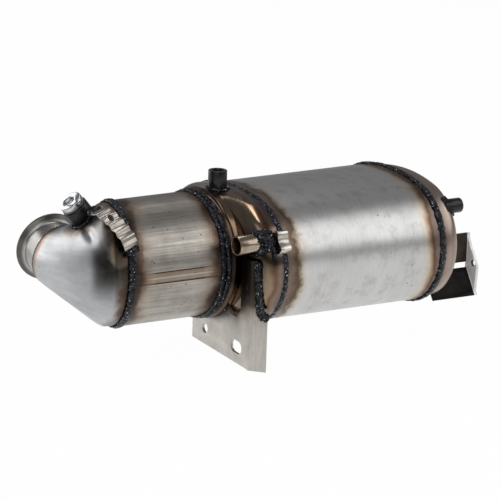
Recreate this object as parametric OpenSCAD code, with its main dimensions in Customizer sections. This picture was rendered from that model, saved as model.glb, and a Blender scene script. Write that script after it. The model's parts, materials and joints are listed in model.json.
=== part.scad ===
// Diesel particulate filter: a pressed inlet elbow, a round catalyst can, a round-to-oval cone,
// an oval filter can and an outlet cone, all welded together, with its brackets, clips and sensor bosses.
// The model is laid out in a can frame: +X runs along the catalyst can from inlet to outlet, +Z is up,
// and X = 0 is where the inlet weld crosses the can's axis. place() then moves the origin to the inlet mouth.

/* [Sheet metal] */
// Thickness of the rolled cans and pressed cones
shell_t = 1.5; // [1:0.1:2]
// Radial gap between a skirt and the can inside it
slip_gap = 0.2; // [0.15:0.05:0.4]
// Length of can that reaches under each skirt
lap = 9; // [6:0.5:12]
// Thickness of the bracket plates
bracket_t = 3; // [2:0.25:4]

/* [Catalyst can] */
// Outside diameter of the catalyst can
cat_d = 125; // [118:0.5:132]
// Length of the catalyst can between its two weld seams, on its axis
cat_len = 94.5; // [90:0.5:120]
// Diameter of the catalyst brick
cat_brick_d = 114; // [108:0.5:117]
// Length of the catalyst brick
cat_brick_len = 74; // [60:1:78]
// Width of the long seam down the catalyst can
seam_w = 11; // [6:0.5:14]
// Height of the long seam above the can's skin
seam_h = 0.7; // [0.4:0.1:1]
// Angle of the long seam below the can's near side
seam_angle = 2; // [-20:1:30]

/* [Inlet elbow] */
// Angle that the inlet weld is slanted at across the can
mitre_angle = 12.5; // [8:0.5:14]
// Length of the elbow that reaches into the can
elbow_lap = 5; // [4:0.5:7]
// Length of the elbow's straight skirt on its long side
skirt_long = 17; // [12:0.5:22]
// Length of the elbow's straight skirt on its short side
skirt_short = 4.5; // [4:0.5:8]
// Centre of the inlet mouth along the can's axis
inlet_x = -22; // [-26:0.5:-18]
// Centre of the inlet mouth across from the can's axis
inlet_y = 84; // [80:0.5:96]
// Centre of the inlet mouth above the can's axis
inlet_z = 1; // [-6:0.5:8]
// Angle of the inlet towards the outlet end, seen from above
inlet_yaw = 8; // [4:0.5:10]
// Angle of the inlet above level
inlet_pitch = 10; // [0:0.5:14]
// How far the inlet weld lies behind the mouth on the short side
neck_short = 12; // [11:0.5:14]
// How far the inlet weld lies behind the mouth on the long side
neck_long = 33; // [28:0.5:36]
// Outside diameter of the elbow's neck
neck_d = 62; // [58:0.5:66]

/* [Inlet flange] */
// Outside diameter of the inlet flange's rim
rim_d = 71; // [68:0.5:78]
// Bore of the inlet flange
inlet_bore_d = 53; // [48:0.5:55]
// Length of the flange's straight spigot inside the neck
spigot_len = 5; // [4:0.5:6]

/* [Filter can] */
// Half width of the oval filter can
oval_a = 96; // [92:0.5:104]
// Half height of the oval filter can
oval_b = 65.5; // [63:0.5:70]
// How much smaller the radius of the oval's end arcs is than its half height
oval_flat = 4; // [2:0.5:12]
// Offset of the oval's centre across from the catalyst can's axis
oval_dy = 1; // [-4:0.5:6]
// Offset of the oval's centre above the catalyst can's axis
oval_dz = -3.5; // [-7:0.5:0]
// Length of the filter can between its two weld seams
filter_len = 189; // [182:1:220]
// Thickness of the mat between the filter brick and its can
filter_mat_t = 5; // [3:0.5:7]
// Length of the filter brick
filter_brick_len = 165; // [140:1:176]
// Pitch of the square segments that the filter brick is built from
segment_pitch = 35; // [28:1:40]

/* [Middle cone] */
// Length of the cone between its two weld seams
cone_len = 48; // [46:0.5:60]
// Length of the cone's round collar
collar_len = 18; // [17:0.5:20]
// Length of the cone's oval skirt
cone_skirt = 10; // [8:0.5:12]
// Height of the rolled rib round the collar
rib_h = 1.6; // [0.8:0.1:2.2]

/* [Outlet cone] */
// Length of the outlet cone's oval skirt outside the filter can
outlet_skirt = 11.5; // [9:0.5:14]
// Depth of the outlet cone from its skirt to its neck
outlet_depth = 30; // [24:0.5:36]
// Outside diameter of the outlet pipe
outlet_d = 60; // [52:0.5:64]
// Length of the outlet pipe outside the cone
outlet_pipe_len = 16; // [12:0.5:24]
// Offset of the outlet pipe from the oval's centre, away from the brackets' side
outlet_dy = 30; // [24:0.5:40]

/* [Sensor bosses] */
// Outside diameter of the threaded boss on the elbow
elbow_boss_d = 26; // [24:0.5:28]
// Height of the boss above the elbow's skin
elbow_boss_h = 18; // [14:0.5:22]
// Diameter of the threaded hole in the elbow's boss
elbow_boss_hole_d = 18; // [16:0.5:18]
// Outside diameter of the boss on the middle cone
top_boss_d = 19; // [17:0.5:22]
// Height of the boss above the middle cone
top_boss_h = 18; // [15:0.5:24]
// Diameter of the hole in the middle cone's boss
top_boss_hole_d = 12; // [10:0.5:14]
// Outside diameter of the boss on the outlet cone
end_boss_d = 15; // [13:0.5:18]
// Length of the boss on the outlet cone
end_boss_len = 15; // [12:0.5:20]
// Diameter of the hole in the outlet cone's boss
end_boss_hole_d = 9; // [8:0.5:11]

/* [Side tube] */
// Outside diameter of the side tube
tube_d = 20; // [18:0.5:22]
// Wall of the side tube
tube_wall = 1.8; // [1.2:0.1:2.5]
// Length of the side tube in front of the cone
tube_len = 25; // [20:0.5:32]

/* [Clips] */
// Width of the waved strap over the inlet weld
clip_w = 18.5; // [14:0.5:20]
// Angle that the strap covers round the can
clip_span = 46; // [36:1:50]
// Diameter of the hole in the strap
clip_hole_d = 7; // [5:0.5:8]
// Width of the small waved clip on the middle cone
side_clip_w = 12; // [8:0.5:14]

/* [Front bracket] */
// Drop of the front bracket's far corner below the can's axis
plate_drop = 92; // [88:0.5:100]
// Drop of the front bracket's folded corner below the can's axis
fold_drop = 102; // [96:0.5:112]
// Width of the front bracket's folded flange
fold_w = 20; // [16:0.5:22]
// Diameter of the front bracket's round hole
front_hole_d = 10; // [8:0.5:11]
// Width of the front bracket's slotted hole
front_slot_w = 13; // [10:0.5:14]
// End-to-end length of the front bracket's slotted hole
front_slot_len = 20; // [16:0.5:22]

/* [Rear bracket] */
// How far the rear bracket's face stands beyond the outlet weld
rear_reach = 71; // [66:0.5:78]
// Diameter of the rear bracket's round hole
rear_hole_d = 7; // [5:0.5:8]

/* [Hidden] */
// Clearance that keeps a weld bead from sharing space with the skin it lies on
bead_gap = 0.1;
// Step where a formed surface meets the straight part of the same pressing
seat = 0.2;
// How far a formed surface reaches into the straight part of the same pressing
reach = 1.5;
// Number of straight pieces round a formed surface
round_n = 60;
$fn = 96;

cat_r = cat_d / 2;
cat_in_r = cat_r - shell_t;
skirt_r = cat_r + slip_gap + shell_t;
skirt_off = slip_gap + shell_t;
// Longer than any cut needs to be
big = 400;

ring2_x = cat_len;
ring3_x = ring2_x + cone_len;
ring4_x = ring3_x + filter_len;
cap_x = ring4_x + outlet_skirt;
neck_x = cap_x + outlet_depth;

mitre = tan(mitre_angle);
elbow_r = cat_in_r - slip_gap;
skirt_far = mitre * elbow_r - skirt_short;
skirt_near = -mitre * elbow_r - skirt_long;
skirt_mid = (skirt_far + skirt_near) / 2;
skirt_slope = (skirt_far - skirt_near) / 2 / elbow_r;
cat_mat_x = mitre * elbow_r + elbow_lap + 2;
cat_brick_x = cat_mat_x - 4;

inlet_pos = [inlet_x, inlet_y, inlet_z];
inlet_dir = [cos(inlet_pitch) * sin(inlet_yaw), cos(inlet_pitch) * cos(inlet_yaw), sin(inlet_pitch)];
inlet_side = [cos(inlet_yaw), -sin(inlet_yaw), 0];
inlet_up = cross(inlet_side, inlet_dir);
neck_r = neck_d / 2;
neck_mid = (neck_long + neck_short) / 2;
neck_slope = (neck_long - neck_short) / 2 / neck_r;
spigot_r = neck_r - shell_t - 2 * slip_gap;

// The oval is four tangent arcs: two of oval_end_r at the sides, two flat ones above and below.
oval_end_r = oval_b - oval_flat;
end_c = oval_a - oval_end_r;
flat_c = (end_c * end_c - oval_flat * oval_flat) / (2 * oval_flat);
flat_r = oval_b + flat_c;
join_a = atan2(flat_c, end_c);
oval_arcs = [
  [end_c, 0, oval_end_r, -join_a, 2 * join_a],
  [0, -flat_c, flat_r, join_a, 180 - 2 * join_a],
  [-end_c, 0, oval_end_r, 180 - join_a, 2 * join_a],
  [0, flat_c, flat_r, 180 + join_a, 180 - 2 * join_a]
];

outlet_r = outlet_d / 2;
outlet_y = oval_dy + outlet_dy;
// The outlet cone's skirt reaches into the filter can, so its offset from the oval is inwards
outlet_off = -slip_gap - shell_t;
// The near side of the oval, which the brackets and the end boss keep to
near_y = oval_dy - oval_a;

clip_x = -22;
clip_angle = 50;
// The side tube lies midway between the collar's side and the oval's, and a little further out
tube_out = 0.4;
tube_y = (near_y - skirt_r) / 2 - tube_out;
tube_z = 26;
top_boss_x = ring2_x + 26.5;
end_boss_y = near_y + 25;
end_boss_z = 36;
plate_x = ring2_x + collar_len - bracket_t - 0.5;
plate_y = near_y + 8;
face_x = ring4_x + rear_reach;
leg_y = near_y + 57;
// Heights of the rear bracket's upper leg and of its slanted lower leg
leg_top = -3.5;
leg_low = -33.5;
foot_top = -40;
foot_low = -66;
foot_run = 17;

function smooth(t) = t * t * (3 - 2 * t);

// Distance from the oval's centre to its outline, grown by off, in direction a
function oval_rho(a, off) =
  let (
    c = abs(cos(a)),
    s = abs(sin(a)),
    r1 = oval_end_r + off,
    r2 = flat_r + off,
    on_end = s * (end_c + r1 * cos(join_a)) < c * r1 * sin(join_a)
  )
  on_end ? end_c * c + sqrt(r1 * r1 - pow(end_c * s, 2)) : -flat_c * s + sqrt(r2 * r2 - pow(flat_c * c, 2));

function oval_point(x, a, off) =
  [x, oval_dy + oval_rho(a, off) * cos(a), oval_dz + oval_rho(a, off) * sin(a)];

function circle_point(x, a, r, cy, cz) = [x, cy + r * cos(a), cz + r * sin(a)];

// A point on the elbow: a curve that leaves the skirt along -X and reaches the neck along the inlet.
// Angle 0 is the tight inner side; f makes the outer side swing wide.
function elbow_start(a, r) = [skirt_mid + skirt_slope * r * cos(a), r * cos(a), r * sin(a)];
function elbow_end(a, r) =
  inlet_pos - (neck_mid - neck_slope * r * cos(a)) * inlet_dir + r * (cos(a) * inlet_side + sin(a) * inlet_up);
function elbow_dent(a, t) = exp(-pow((a - 130) / 12, 2) - pow((t - 0.37) / 0.07, 2));
function elbow_point(a, step, inset) =
  let (
    t = max(step, 0),
    f = pow((1 - cos(a)) / 2, 1.5),
    p0 = elbow_start(a, elbow_r - inset),
    p1 = elbow_end(a, neck_r - inset),
    t0 = [-(6 + (46 - 2.5 * inset) * f), 0, 0],
    t1 = (6 + (69 - 2.5 * inset) * f) * inlet_dir
  )
  (2 * t * t * t - 3 * t * t + 1) * p0 + (t * t * t - 2 * t * t + t) * t0
  + (3 * t * t - 2 * t * t * t) * p1 + (t * t * t - t * t) * t1
  + 3 * elbow_dent(a, t) * [0.84, 0, -0.54] + (step < 0 ? [reach, 0, 0] : [0, 0, 0]);

// A point on the middle cone: a circle that swells into the oval, steep at first and then rounding over
function cone_point(a, step, inset, run) =
  let (
    t = min(max(step, 0), 1),
    x0 = ring2_x + collar_len,
    x1 = ring3_x - cone_skirt,
    s = smooth(pow(t, 0.45)),
    past = step < 0 ? -run : step > 1 ? run : 0,
    x = x0 + (x1 - x0) * t + inset * sin(180 * t) + past
  )
  (1 - s) * circle_point(x, a, skirt_r - inset, 0, 0) + s * oval_point(x, a, skirt_off - inset);

// A point on the outlet cone: a rounded shoulder, a shallow end wall, then a fillet into the neck
function outlet_rise(u) =
  0.42 * sqrt(1 - pow(1 - min(u / 0.15, 1), 2)) + 0.25 * u
  + 0.33 * (1 - sqrt(max(0, 1 - pow(max(u - 0.85, 0) / 0.15, 2))));
function outlet_point(a, step, inset) =
  let (
    u = max(step, 0),
    x = cap_x + outlet_depth * outlet_rise(u) - inset * sin(180 * u) - (step < 0 ? reach : 0)
  )
  (1 - u) * oval_point(x, a, outlet_off - inset)
  + u * circle_point(x, a, outlet_r + skirt_off - inset, outlet_y, oval_dz);

elbow_steps = [-1, 0, 0.06, 0.13, 0.21, 0.29, 0.37, 0.45, 0.54, 0.64, 0.76, 0.88, 1];
cone_steps = [-1, 0, 0.04, 0.1, 0.18, 0.28, 0.4, 0.54, 0.7, 0.85, 1, 2];
outlet_steps = [-1, 0, 0.006, 0.025, 0.06, 0.1, 0.15, 0.4, 0.7, 0.85, 0.93, 0.98, 1];

// Faces of a closed skin made of m rings of n points; the last ring joins the first if it is a shell
function skin_faces(m, n, shell) = [
  for (i = [0 : m - (shell ? 1 : 2)])
    for (k = [0 : n - 1])
      for (half = [0, 1])
        let (
          a = i * n + k,
          b = i * n + (k + 1) % n,
          c = ((i + 1) % m) * n + (k + 1) % n,
          d = ((i + 1) % m) * n + k
        )
        half == 0 ? [a, b, c] : [a, c, d]
];

// Rings for a shell: out along the outer skin and back along the inner one
function both_ways(steps) = concat(
  [for (t = steps) [t, 0]],
  [for (i = [len(steps) - 1 : -1 : 0]) [steps[i], 1]]
);

module ring_skin(rings, shell) {
  m = len(rings);
  n = len(rings[0]);
  sides = skin_faces(m, n, shell);
  first = [for (k = [0 : n - 1]) n - 1 - k];
  last = [for (k = [0 : n - 1]) (m - 1) * n + k];
  polyhedron(
    points = [for (r = rings) each r],
    faces = shell ? sides : concat(sides, [first, last])
  );
}

// Moves the part so that the origin is the middle of the inlet mouth
module place() {
  translate(-inlet_pos)
    children();
}

// Turns a shape drawn upright so that its height runs along +X
module along_x() {
  rotate([90, 0, 90])
    children();
}

// Turns a shape drawn upright so that its height runs out of the inlet
module at_inlet() {
  translate(inlet_pos)
    rotate([inlet_pitch - 90, 0, -inlet_yaw])
      children();
}

module tube(r_out, r_in, x0, x1) {
  along_x()
    translate([0, 0, x0])
      difference() {
        cylinder(r = r_out, h = x1 - x0);
        translate([0, 0, -1])
          cylinder(r = r_in, h = x1 - x0 + 2);
      }
}

// Everything on the outlet side of the plane x = x0 + tan(angle) * y
module beyond(x0, angle) {
  translate([x0, 0, 0])
    rotate([0, 0, -angle])
      translate([0, -big / 2, -big / 2])
        cube([big, big, big]);
}

// Everything on the inlet side of that plane
module before(x0, angle) {
  translate([x0, 0, 0])
    rotate([0, 0, -angle])
      translate([-big, -big / 2, -big / 2])
        cube([big, big, big]);
}

// Carries a flat section round the oval: its x is the offset outwards, its y the place along the can
module round_oval() {
  translate([0, oval_dy, oval_dz])
    along_x()
      for (arc = oval_arcs)
        translate([arc[0], arc[1], 0])
          rotate(arc[3])
            rotate_extrude(angle = arc[4])
              translate([arc[2], 0])
                children();
}

module oval_tube(off_in, off_out, x0, x1) {
  difference() {
    oval_disc(off_out, x0, x1);
    oval_disc(off_in, x0 - 1, x1 + 1);
  }
}

// A solid oval: the lens between the two flat arcs, cut off square past the joins, and the two end rounds
module oval_disc(off, x0, x1) {
  cut_y = end_c + (oval_end_r + off) * cos(join_a);
  translate([x0, oval_dy, oval_dz])
    along_x() {
      intersection() {
        translate([0, -flat_c, 0])
          cylinder(r = flat_r + off, h = x1 - x0);
        translate([0, flat_c, 0])
          cylinder(r = flat_r + off, h = x1 - x0);
        translate([-cut_y, -big / 2, -1])
          cube([2 * cut_y, big, x1 - x0 + 2]);
      }
      for (side = [-1, 1])
        translate([side * end_c, 0, 0])
          cylinder(r = oval_end_r + off, h = x1 - x0);
    }
}

module elbow_shell() {
  ring_skin([
    for (s = both_ways(elbow_steps))
      [for (k = [0 : round_n - 1])
        elbow_point(k * 360 / round_n, s[0], s[1] == 0 ? seat : shell_t - seat)]
  ], true);
}

// The elbow as a solid block, grown by the bead gap, for trimming what is welded to it
module elbow_block() {
  ring_skin([
    for (t = elbow_steps)
      [for (k = [0 : round_n - 1]) elbow_point(k * 360 / round_n, t, -bead_gap)]
  ], false);
}

module cone_shell() {
  ring_skin([
    for (s = both_ways(cone_steps))
      [for (k = [0 : round_n - 1])
        cone_point(-k * 360 / round_n, s[0], s[1] == 0 ? seat : shell_t - seat, reach)]
  ], true);
}

// The cone as a solid block with some of its collar and skirt, grown by the bead gap
module cone_block() {
  ring_skin([
    for (t = cone_steps)
      [for (k = [0 : round_n - 1]) cone_point(-k * 360 / round_n, t, -bead_gap, collar_len / 2)]
  ], false);
}

module outlet_shell() {
  ring_skin([
    for (s = both_ways(outlet_steps))
      [for (k = [0 : round_n - 1])
        outlet_point(-k * 360 / round_n, s[0], s[1] == 0 ? seat : shell_t - seat)]
  ], true);
}

module outlet_block() {
  ring_skin([
    for (t = outlet_steps)
      [for (k = [0 : round_n - 1]) outlet_point(-k * 360 / round_n, t, -bead_gap)]
  ], false);
}

// The section of a bead over a can's edge and down to the piece inside it: places along and out from the can
function edge_bead(skin, inside) = [
  [3.8, skin + 0.2], [2, skin + 1.2], [-0.4, skin + 1.5], [-2.8, skin + 0.6],
  [-4.8, inside + 0.2], [-0.2, inside + 0.2], [-0.2, skin + 0.2]
];

// A bead laid in the plane x = tan(mitre_angle) * y
module mitre_bead() {
  ring_skin([
    for (p = edge_bead(cat_r, elbow_r))
      [for (k = [0 : 71]) [mitre * p[1] * cos(k * 5) + p[0], p[1] * cos(k * 5), p[1] * sin(k * 5)]]
  ], true);
}

// A bead laid round the inlet spigot against the slanted end of the elbow's neck
module neck_bead() {
  section = [
    [0.15, spigot_r + 0.15], [3.4, spigot_r + 0.15], [3.1, spigot_r + 1.2],
    [1.8, neck_r + 0.9], [0.15, neck_r + 1.2]
  ];
  ring_skin([
    for (p = section)
      [for (k = [0 : 59])
        elbow_end(k * 6, p[1]) + p[0] * inlet_dir]
  ], true);
}

// The section of a bead: a low arc over the edge of a skirt that lies on the side that turn gives
module bead_section(half_w, height, turn) {
  r = (half_w * half_w + height * height) / (2 * height);
  difference() {
    translate([skirt_off + height - r, 0])
      circle(r = r);
    translate([-3 * r, -r])
      square([3 * r + bead_gap, 2 * r]);
    translate([-r, turn > 0 ? -bead_gap : -r])
      square([r + skirt_off + bead_gap, r + bead_gap]);
  }
}

// A bead laid in four runs round the oval can
module oval_bead(x, half_w, height, turn) {
  round_oval()
    translate([0, x])
      bead_section(half_w, height, turn);
}

// A bead round the foot of an upright boss of radius r, before it is trimmed to the skin
module foot_bead(r, width, height) {
  rotate_extrude()
    polygon([
      [r + bead_gap, -8], [r + width, -8], [r + width, 0],
      [r + width * 0.6, height * 0.75], [r + bead_gap, height]
    ]);
}

// Where the boss stands on the elbow, its axis leaning back over the inlet
module at_elbow_boss() {
  translate(elbow_point(97, 0.45, 0))
    rotate([0, -41, 0])
      children();
}

module at_top_boss() {
  translate([top_boss_x, 0, skirt_r + 0.3])
    children();
}

module at_end_boss() {
  translate([cap_x + outlet_depth * 0.3, end_boss_y, end_boss_z])
    along_x()
      children();
}

module inlet_flange() {
  color([0.5, 0.49, 0.48])
    at_inlet()
      difference() {
        rotate_extrude()
          polygon([
            [inlet_bore_d / 2, -neck_long - 30],
            [spigot_r, -neck_long - 30],
            [spigot_r, -8],
            [spigot_r + 1.2, -6.4],
            [rim_d / 2 - 1, -3.2],
            [rim_d / 2, -2.4],
            [rim_d / 2, -0.8],
            [rim_d / 2 - 0.8, 0],
            [inlet_bore_d / 2, 0]
          ]);
        translate([0, 0, -neck_mid - spigot_len])
          rotate([0, -atan(neck_slope), 0])
            translate([-big / 2, -big / 2, -big])
              cube([big, big, big]);
      }
}

module inlet_weld() {
  color([0.13, 0.13, 0.15])
    neck_bead();
}

module inlet_elbow() {
  color([0.72, 0.71, 0.69])
    difference() {
      union() {
        intersection() {
          tube(elbow_r, elbow_r - shell_t, -90, 60);
          before(elbow_lap, mitre_angle);
          beyond(skirt_mid + reach / 2, atan(skirt_slope));
        }
        elbow_shell();
      }
      at_elbow_boss()
        translate([0, 0, -12])
          cylinder(d = elbow_boss_d + 2 * slip_gap, h = 24);
    }
}

module elbow_boss() {
  color([0.1, 0.1, 0.11])
    at_elbow_boss()
      rotate_extrude()
        polygon([
          [elbow_boss_hole_d / 2, -4],
          [elbow_boss_d / 2, -4],
          [elbow_boss_d / 2, elbow_boss_h - 1],
          [elbow_boss_d / 2 - 1, elbow_boss_h],
          [elbow_boss_hole_d / 2, elbow_boss_h]
        ]);
}

module elbow_boss_weld() {
  color([0.12, 0.12, 0.14])
    difference() {
      at_elbow_boss()
        foot_bead(elbow_boss_d / 2, 3.5, 4);
      elbow_block();
    }
}

module boss_washer() {
  color([0.7, 0.42, 0.25])
    at_elbow_boss()
      translate([0, 0, elbow_boss_h])
        difference() {
          cylinder(d = 24, h = 1.5);
          translate([0, 0, -1])
            cylinder(d = elbow_boss_hole_d, h = 4);
        }
}

module boss_plug() {
  color([0.85, 0.86, 0.88])
    at_elbow_boss()
      translate([0, 0, elbow_boss_h + 1.5])
        difference() {
          rotate_extrude()
            polygon([
              [0, -11.5], [elbow_boss_hole_d / 2 - 1.1, -11.5], [elbow_boss_hole_d / 2 - 0.1, -10.5],
              [elbow_boss_hole_d / 2 - 0.1, 0], [12, 0], [12, 5.2], [11.2, 6], [0, 6]
            ]);
          translate([0, 0, 1])
            cylinder(d = 11.5, h = 8, $fn = 6);
        }
}

module elbow_weld() {
  color([0.12, 0.12, 0.14])
    mitre_bead();
}

module catalyst_can() {
  half = seam_w / cat_r * 90 / PI;
  color([0.6, 0.58, 0.55]) {
    difference() {
      tube(cat_r, cat_in_r, -60, ring2_x + lap);
      before(0, mitre_angle);
    }
    along_x()
      for (edge = [-1, 1])
        rotate(180 - seam_angle + edge * half - 1)
          rotate_extrude(angle = 2)
            translate([cat_r - 0.5, -mitre * cat_r + 6])
              square([seam_h + 0.5, ring2_x + mitre * cat_r - 16]);
  }
}

module catalyst_mat() {
  color([0.85, 0.84, 0.8])
    tube(cat_in_r, cat_brick_d / 2, cat_mat_x, cat_brick_x + cat_brick_len - 4);
}

module catalyst_brick() {
  color([0.75, 0.7, 0.6])
    along_x()
      translate([0, 0, cat_brick_x])
        cylinder(d = cat_brick_d, h = cat_brick_len);
}

module catalyst_weld() {
  color([0.12, 0.12, 0.14])
    along_x()
      rotate_extrude()
        translate([cat_r, ring2_x])
          bead_section(5.5, 1.4, 1);
}

module transition_cone() {
  color([0.6, 0.5, 0.35])
    difference() {
      union() {
        tube(skirt_r, skirt_r - shell_t, ring2_x, ring2_x + collar_len - reach / 2);
        along_x()
          rotate_extrude()
            translate([skirt_r - 0.6, ring2_x + 8.4])
              circle(r = rib_h + 0.6, $fn = 32);
        cone_shell();
        oval_tube(slip_gap, skirt_off, ring3_x - cone_skirt + reach / 2, ring3_x);
      }
      tube(skirt_r - shell_t, cat_r - 6, ring2_x - 1, ring2_x + collar_len - 0.5);
      at_top_boss()
        translate([0, 0, -12])
          cylinder(d = top_boss_d + 2 * slip_gap, h = 24);
      translate([ring2_x + 15, tube_y, tube_z])
        along_x()
          cylinder(d = tube_d + 2 * slip_gap, h = 40);
    }
}

module top_boss() {
  color([0.08, 0.08, 0.09])
    at_top_boss()
      difference() {
        translate([0, 0, -4])
          cylinder(d = top_boss_d, h = top_boss_h + 4);
        translate([0, 0, -5])
          cylinder(d = top_boss_hole_d, h = top_boss_h + 6);
      }
}

module top_boss_weld() {
  color([0.12, 0.12, 0.14])
    difference() {
      at_top_boss()
        foot_bead(top_boss_d / 2, 3.2, 3);
      cone_block();
    }
}

module side_tube() {
  color([0.5, 0.4, 0.28])
    translate([0, tube_y, tube_z])
      tube(tube_d / 2, tube_d / 2 - tube_wall, ring2_x + 24 - tube_len, ring2_x + 34);
}

module side_tube_weld() {
  color([0.12, 0.12, 0.14])
    difference() {
      translate([ring2_x + 18.5, tube_y, tube_z])
        along_x()
          difference() {
            cylinder(r1 = tube_d / 2 + 1.5, r2 = tube_d / 2 + 4, h = 14);
            translate([0, 0, -1])
              cylinder(r = tube_d / 2 + bead_gap, h = 16);
          }
      cone_block();
    }
}

module cone_weld() {
  color([0.12, 0.12, 0.14])
    oval_bead(ring3_x, 3.2, 1, -1);
}

module filter_can() {
  color([0.7, 0.69, 0.66])
    oval_tube(-shell_t, 0, ring3_x - lap, ring4_x);
}

module filter_mat() {
  x0 = ring3_x + (filter_len - filter_brick_len) / 2;
  color([0.85, 0.84, 0.8])
    oval_tube(-shell_t - filter_mat_t, -shell_t, x0 + 6, x0 + filter_brick_len - 6);
}

module filter_brick() {
  x0 = ring3_x + (filter_len - filter_brick_len) / 2;
  color([0.35, 0.34, 0.33])
    difference() {
      oval_disc(-shell_t - filter_mat_t, x0, x0 + filter_brick_len);
      for (end = [x0 - 1, x0 + filter_brick_len - 1.5]) {
        for (i = [-2 : 2])
          translate([end, oval_dy + i * segment_pitch - 0.75, oval_dz - oval_b])
            cube([2.5, 1.5, 2 * oval_b]);
        for (i = [-1.5 : 1 : 1.5])
          translate([end, oval_dy - oval_a, oval_dz + i * segment_pitch - 0.75])
            cube([2.5, 2 * oval_a, 1.5]);
      }
    }
}

module outlet_weld() {
  color([0.12, 0.12, 0.14])
    round_oval()
      polygon([for (p = edge_bead(0, outlet_off)) [p[1], ring4_x - p[0]]]);
}

module outlet_cone() {
  color([0.6, 0.5, 0.35])
    difference() {
      union() {
        oval_tube(outlet_off - shell_t, outlet_off, ring4_x - lap, cap_x - reach / 2);
        outlet_shell();
      }
      at_end_boss()
        translate([0, 0, -14])
          cylinder(d = end_boss_d + 2 * slip_gap, h = 30);
    }
}

module end_boss() {
  color([0.08, 0.08, 0.09])
    at_end_boss()
      difference() {
        translate([0, 0, -6])
          cylinder(d = end_boss_d, h = end_boss_len + 6);
        translate([0, 0, -7])
          cylinder(d = end_boss_hole_d, h = end_boss_len + 8);
      }
}

module end_boss_weld() {
  color([0.12, 0.12, 0.14])
    difference() {
      at_end_boss()
        foot_bead(end_boss_d / 2, 3, 3.5);
      outlet_block();
    }
}

module outlet_pipe() {
  color([0.6, 0.58, 0.55])
    translate([0, outlet_y, oval_dz])
      tube(outlet_r, outlet_r - shell_t, neck_x - 8, neck_x + outlet_pipe_len);
}

module outlet_pipe_weld() {
  color([0.12, 0.12, 0.14])
    translate([0, outlet_y, oval_dz])
      along_x()
        rotate_extrude()
          polygon([
            [outlet_r + bead_gap, neck_x + bead_gap],
            [outlet_r + skirt_off + 1, neck_x + bead_gap],
            [outlet_r + skirt_off + 0.6, neck_x + 1.6],
            [outlet_r + 1.2, neck_x + 3.6],
            [outlet_r + bead_gap, neck_x + 4]
          ]);
}

module front_bracket() {
  color([0.68, 0.65, 0.61])
    difference() {
      union() {
        translate([plate_x, 0, 0])
          along_x()
            linear_extrude(height = bracket_t)
              difference() {
                polygon([
                  [19, -60], [19, -plate_drop], [plate_y + 2, -fold_drop + 0.5], [plate_y + 2, 10], [-68, 10],
                  [-68, -44], [-62, -52], [-52, -52], [-44, -44]
                ]);
                circle(r = skirt_r + 1.5);
              }
        translate([0, plate_y + bracket_t, 0])
          rotate([90, 0, 0])
            linear_extrude(height = bracket_t)
              polygon([
                [plate_x + 2, 10], [plate_x + 6, 10], [plate_x + 11, -40], [plate_x + fold_w, -52],
                [plate_x + fold_w, -fold_drop - 4], [plate_x + 2, -fold_drop]
              ]);
        intersection() {
          translate([plate_x + 4, plate_y + 4, -fold_drop - 10])
            difference() {
              cylinder(r = 4, h = fold_drop + 20, $fn = 64);
              translate([0, 0, -1])
                cylinder(r = 4 - bracket_t, h = fold_drop + 22, $fn = 64);
              translate([0, -6, -1])
                cube([10, 12, fold_drop + 22]);
              translate([-6, 0, -1])
                cube([12, 10, fold_drop + 22]);
            }
          translate([plate_x - 1, plate_y - 1, -fold_drop])
            cube([6, 6, fold_drop + 10]);
        }
      }
      translate([plate_x - 1, -4, -plate_drop + 14])
        along_x()
          cylinder(d = front_hole_d, h = bracket_t + 2);
      translate([plate_x - 1, plate_y + 25, -fold_drop + 19])
        rotate([5, 0, 0])
          along_x() {
            for (end = [-1, 1])
              translate([end * (front_slot_len - front_slot_w) / 2, 0, 0])
                cylinder(d = front_slot_w, h = bracket_t + 2);
            translate([-(front_slot_len - front_slot_w) / 2, -front_slot_w / 2, 0])
              cube([front_slot_len - front_slot_w, front_slot_w, bracket_t + 2]);
          }
    }
}

module front_bracket_weld() {
  color([0.12, 0.12, 0.14]) {
    along_x()
      rotate(228)
        rotate_extrude(angle = 52)
          polygon([
            [skirt_r + bead_gap, plate_x - 2.6],
            [skirt_r + bead_gap, plate_x - bead_gap],
            [skirt_r + 4.6, plate_x - bead_gap],
            [skirt_r + 2.4, plate_x - 2.2]
          ]);
    difference() {
      for (z = [-48 : 3.4 : 6])
        translate([plate_x + 8 - z * 0.1, plate_y + 1.6, z])
          sphere(r = 3.4, $fn = 24);
      cone_block();
      front_bracket();
    }
  }
}

module rear_bracket() {
  color([0.66, 0.63, 0.58])
    difference() {
      union() {
        translate([cap_x + outlet_depth * 0.4, leg_y - bracket_t, leg_low])
          cube([face_x - cap_x - outlet_depth * 0.4, bracket_t, leg_top - leg_low]);
        translate([face_x - bracket_t, 0, 0])
          along_x()
            linear_extrude(height = bracket_t)
              polygon([
                [leg_y, leg_top], [leg_y - foot_run - 3, leg_low - 1.5], [leg_y - foot_run, foot_low],
                [leg_y, foot_top]
              ]);
        translate([cap_x + outlet_depth * 0.2, 0, 0])
          along_x()
            linear_extrude(height = face_x - cap_x - outlet_depth * 0.2)
              polygon([
                [leg_y, foot_top], [leg_y - foot_run, foot_low],
                [leg_y - foot_run - bracket_t, foot_low + bracket_t * 0.4], [leg_y - bracket_t, foot_top + 1]
              ]);
      }
      outlet_block();
      translate([face_x - bracket_t - 1, leg_y - 14, leg_low + 1])
        along_x()
          cylinder(d = rear_hole_d, h = bracket_t + 2);
      translate([face_x - bracket_t - 1, leg_y - 10, leg_top - 13])
        rotate([-36, 0, 0])
          along_x() {
            for (end = [-1, 1])
              translate([0, end * 2.5, 0])
                cylinder(d = 4, h = bracket_t + 2);
            translate([-2, -2.5, 0])
              cube([4, 5, bracket_t + 2]);
          }
    }
}

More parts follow.
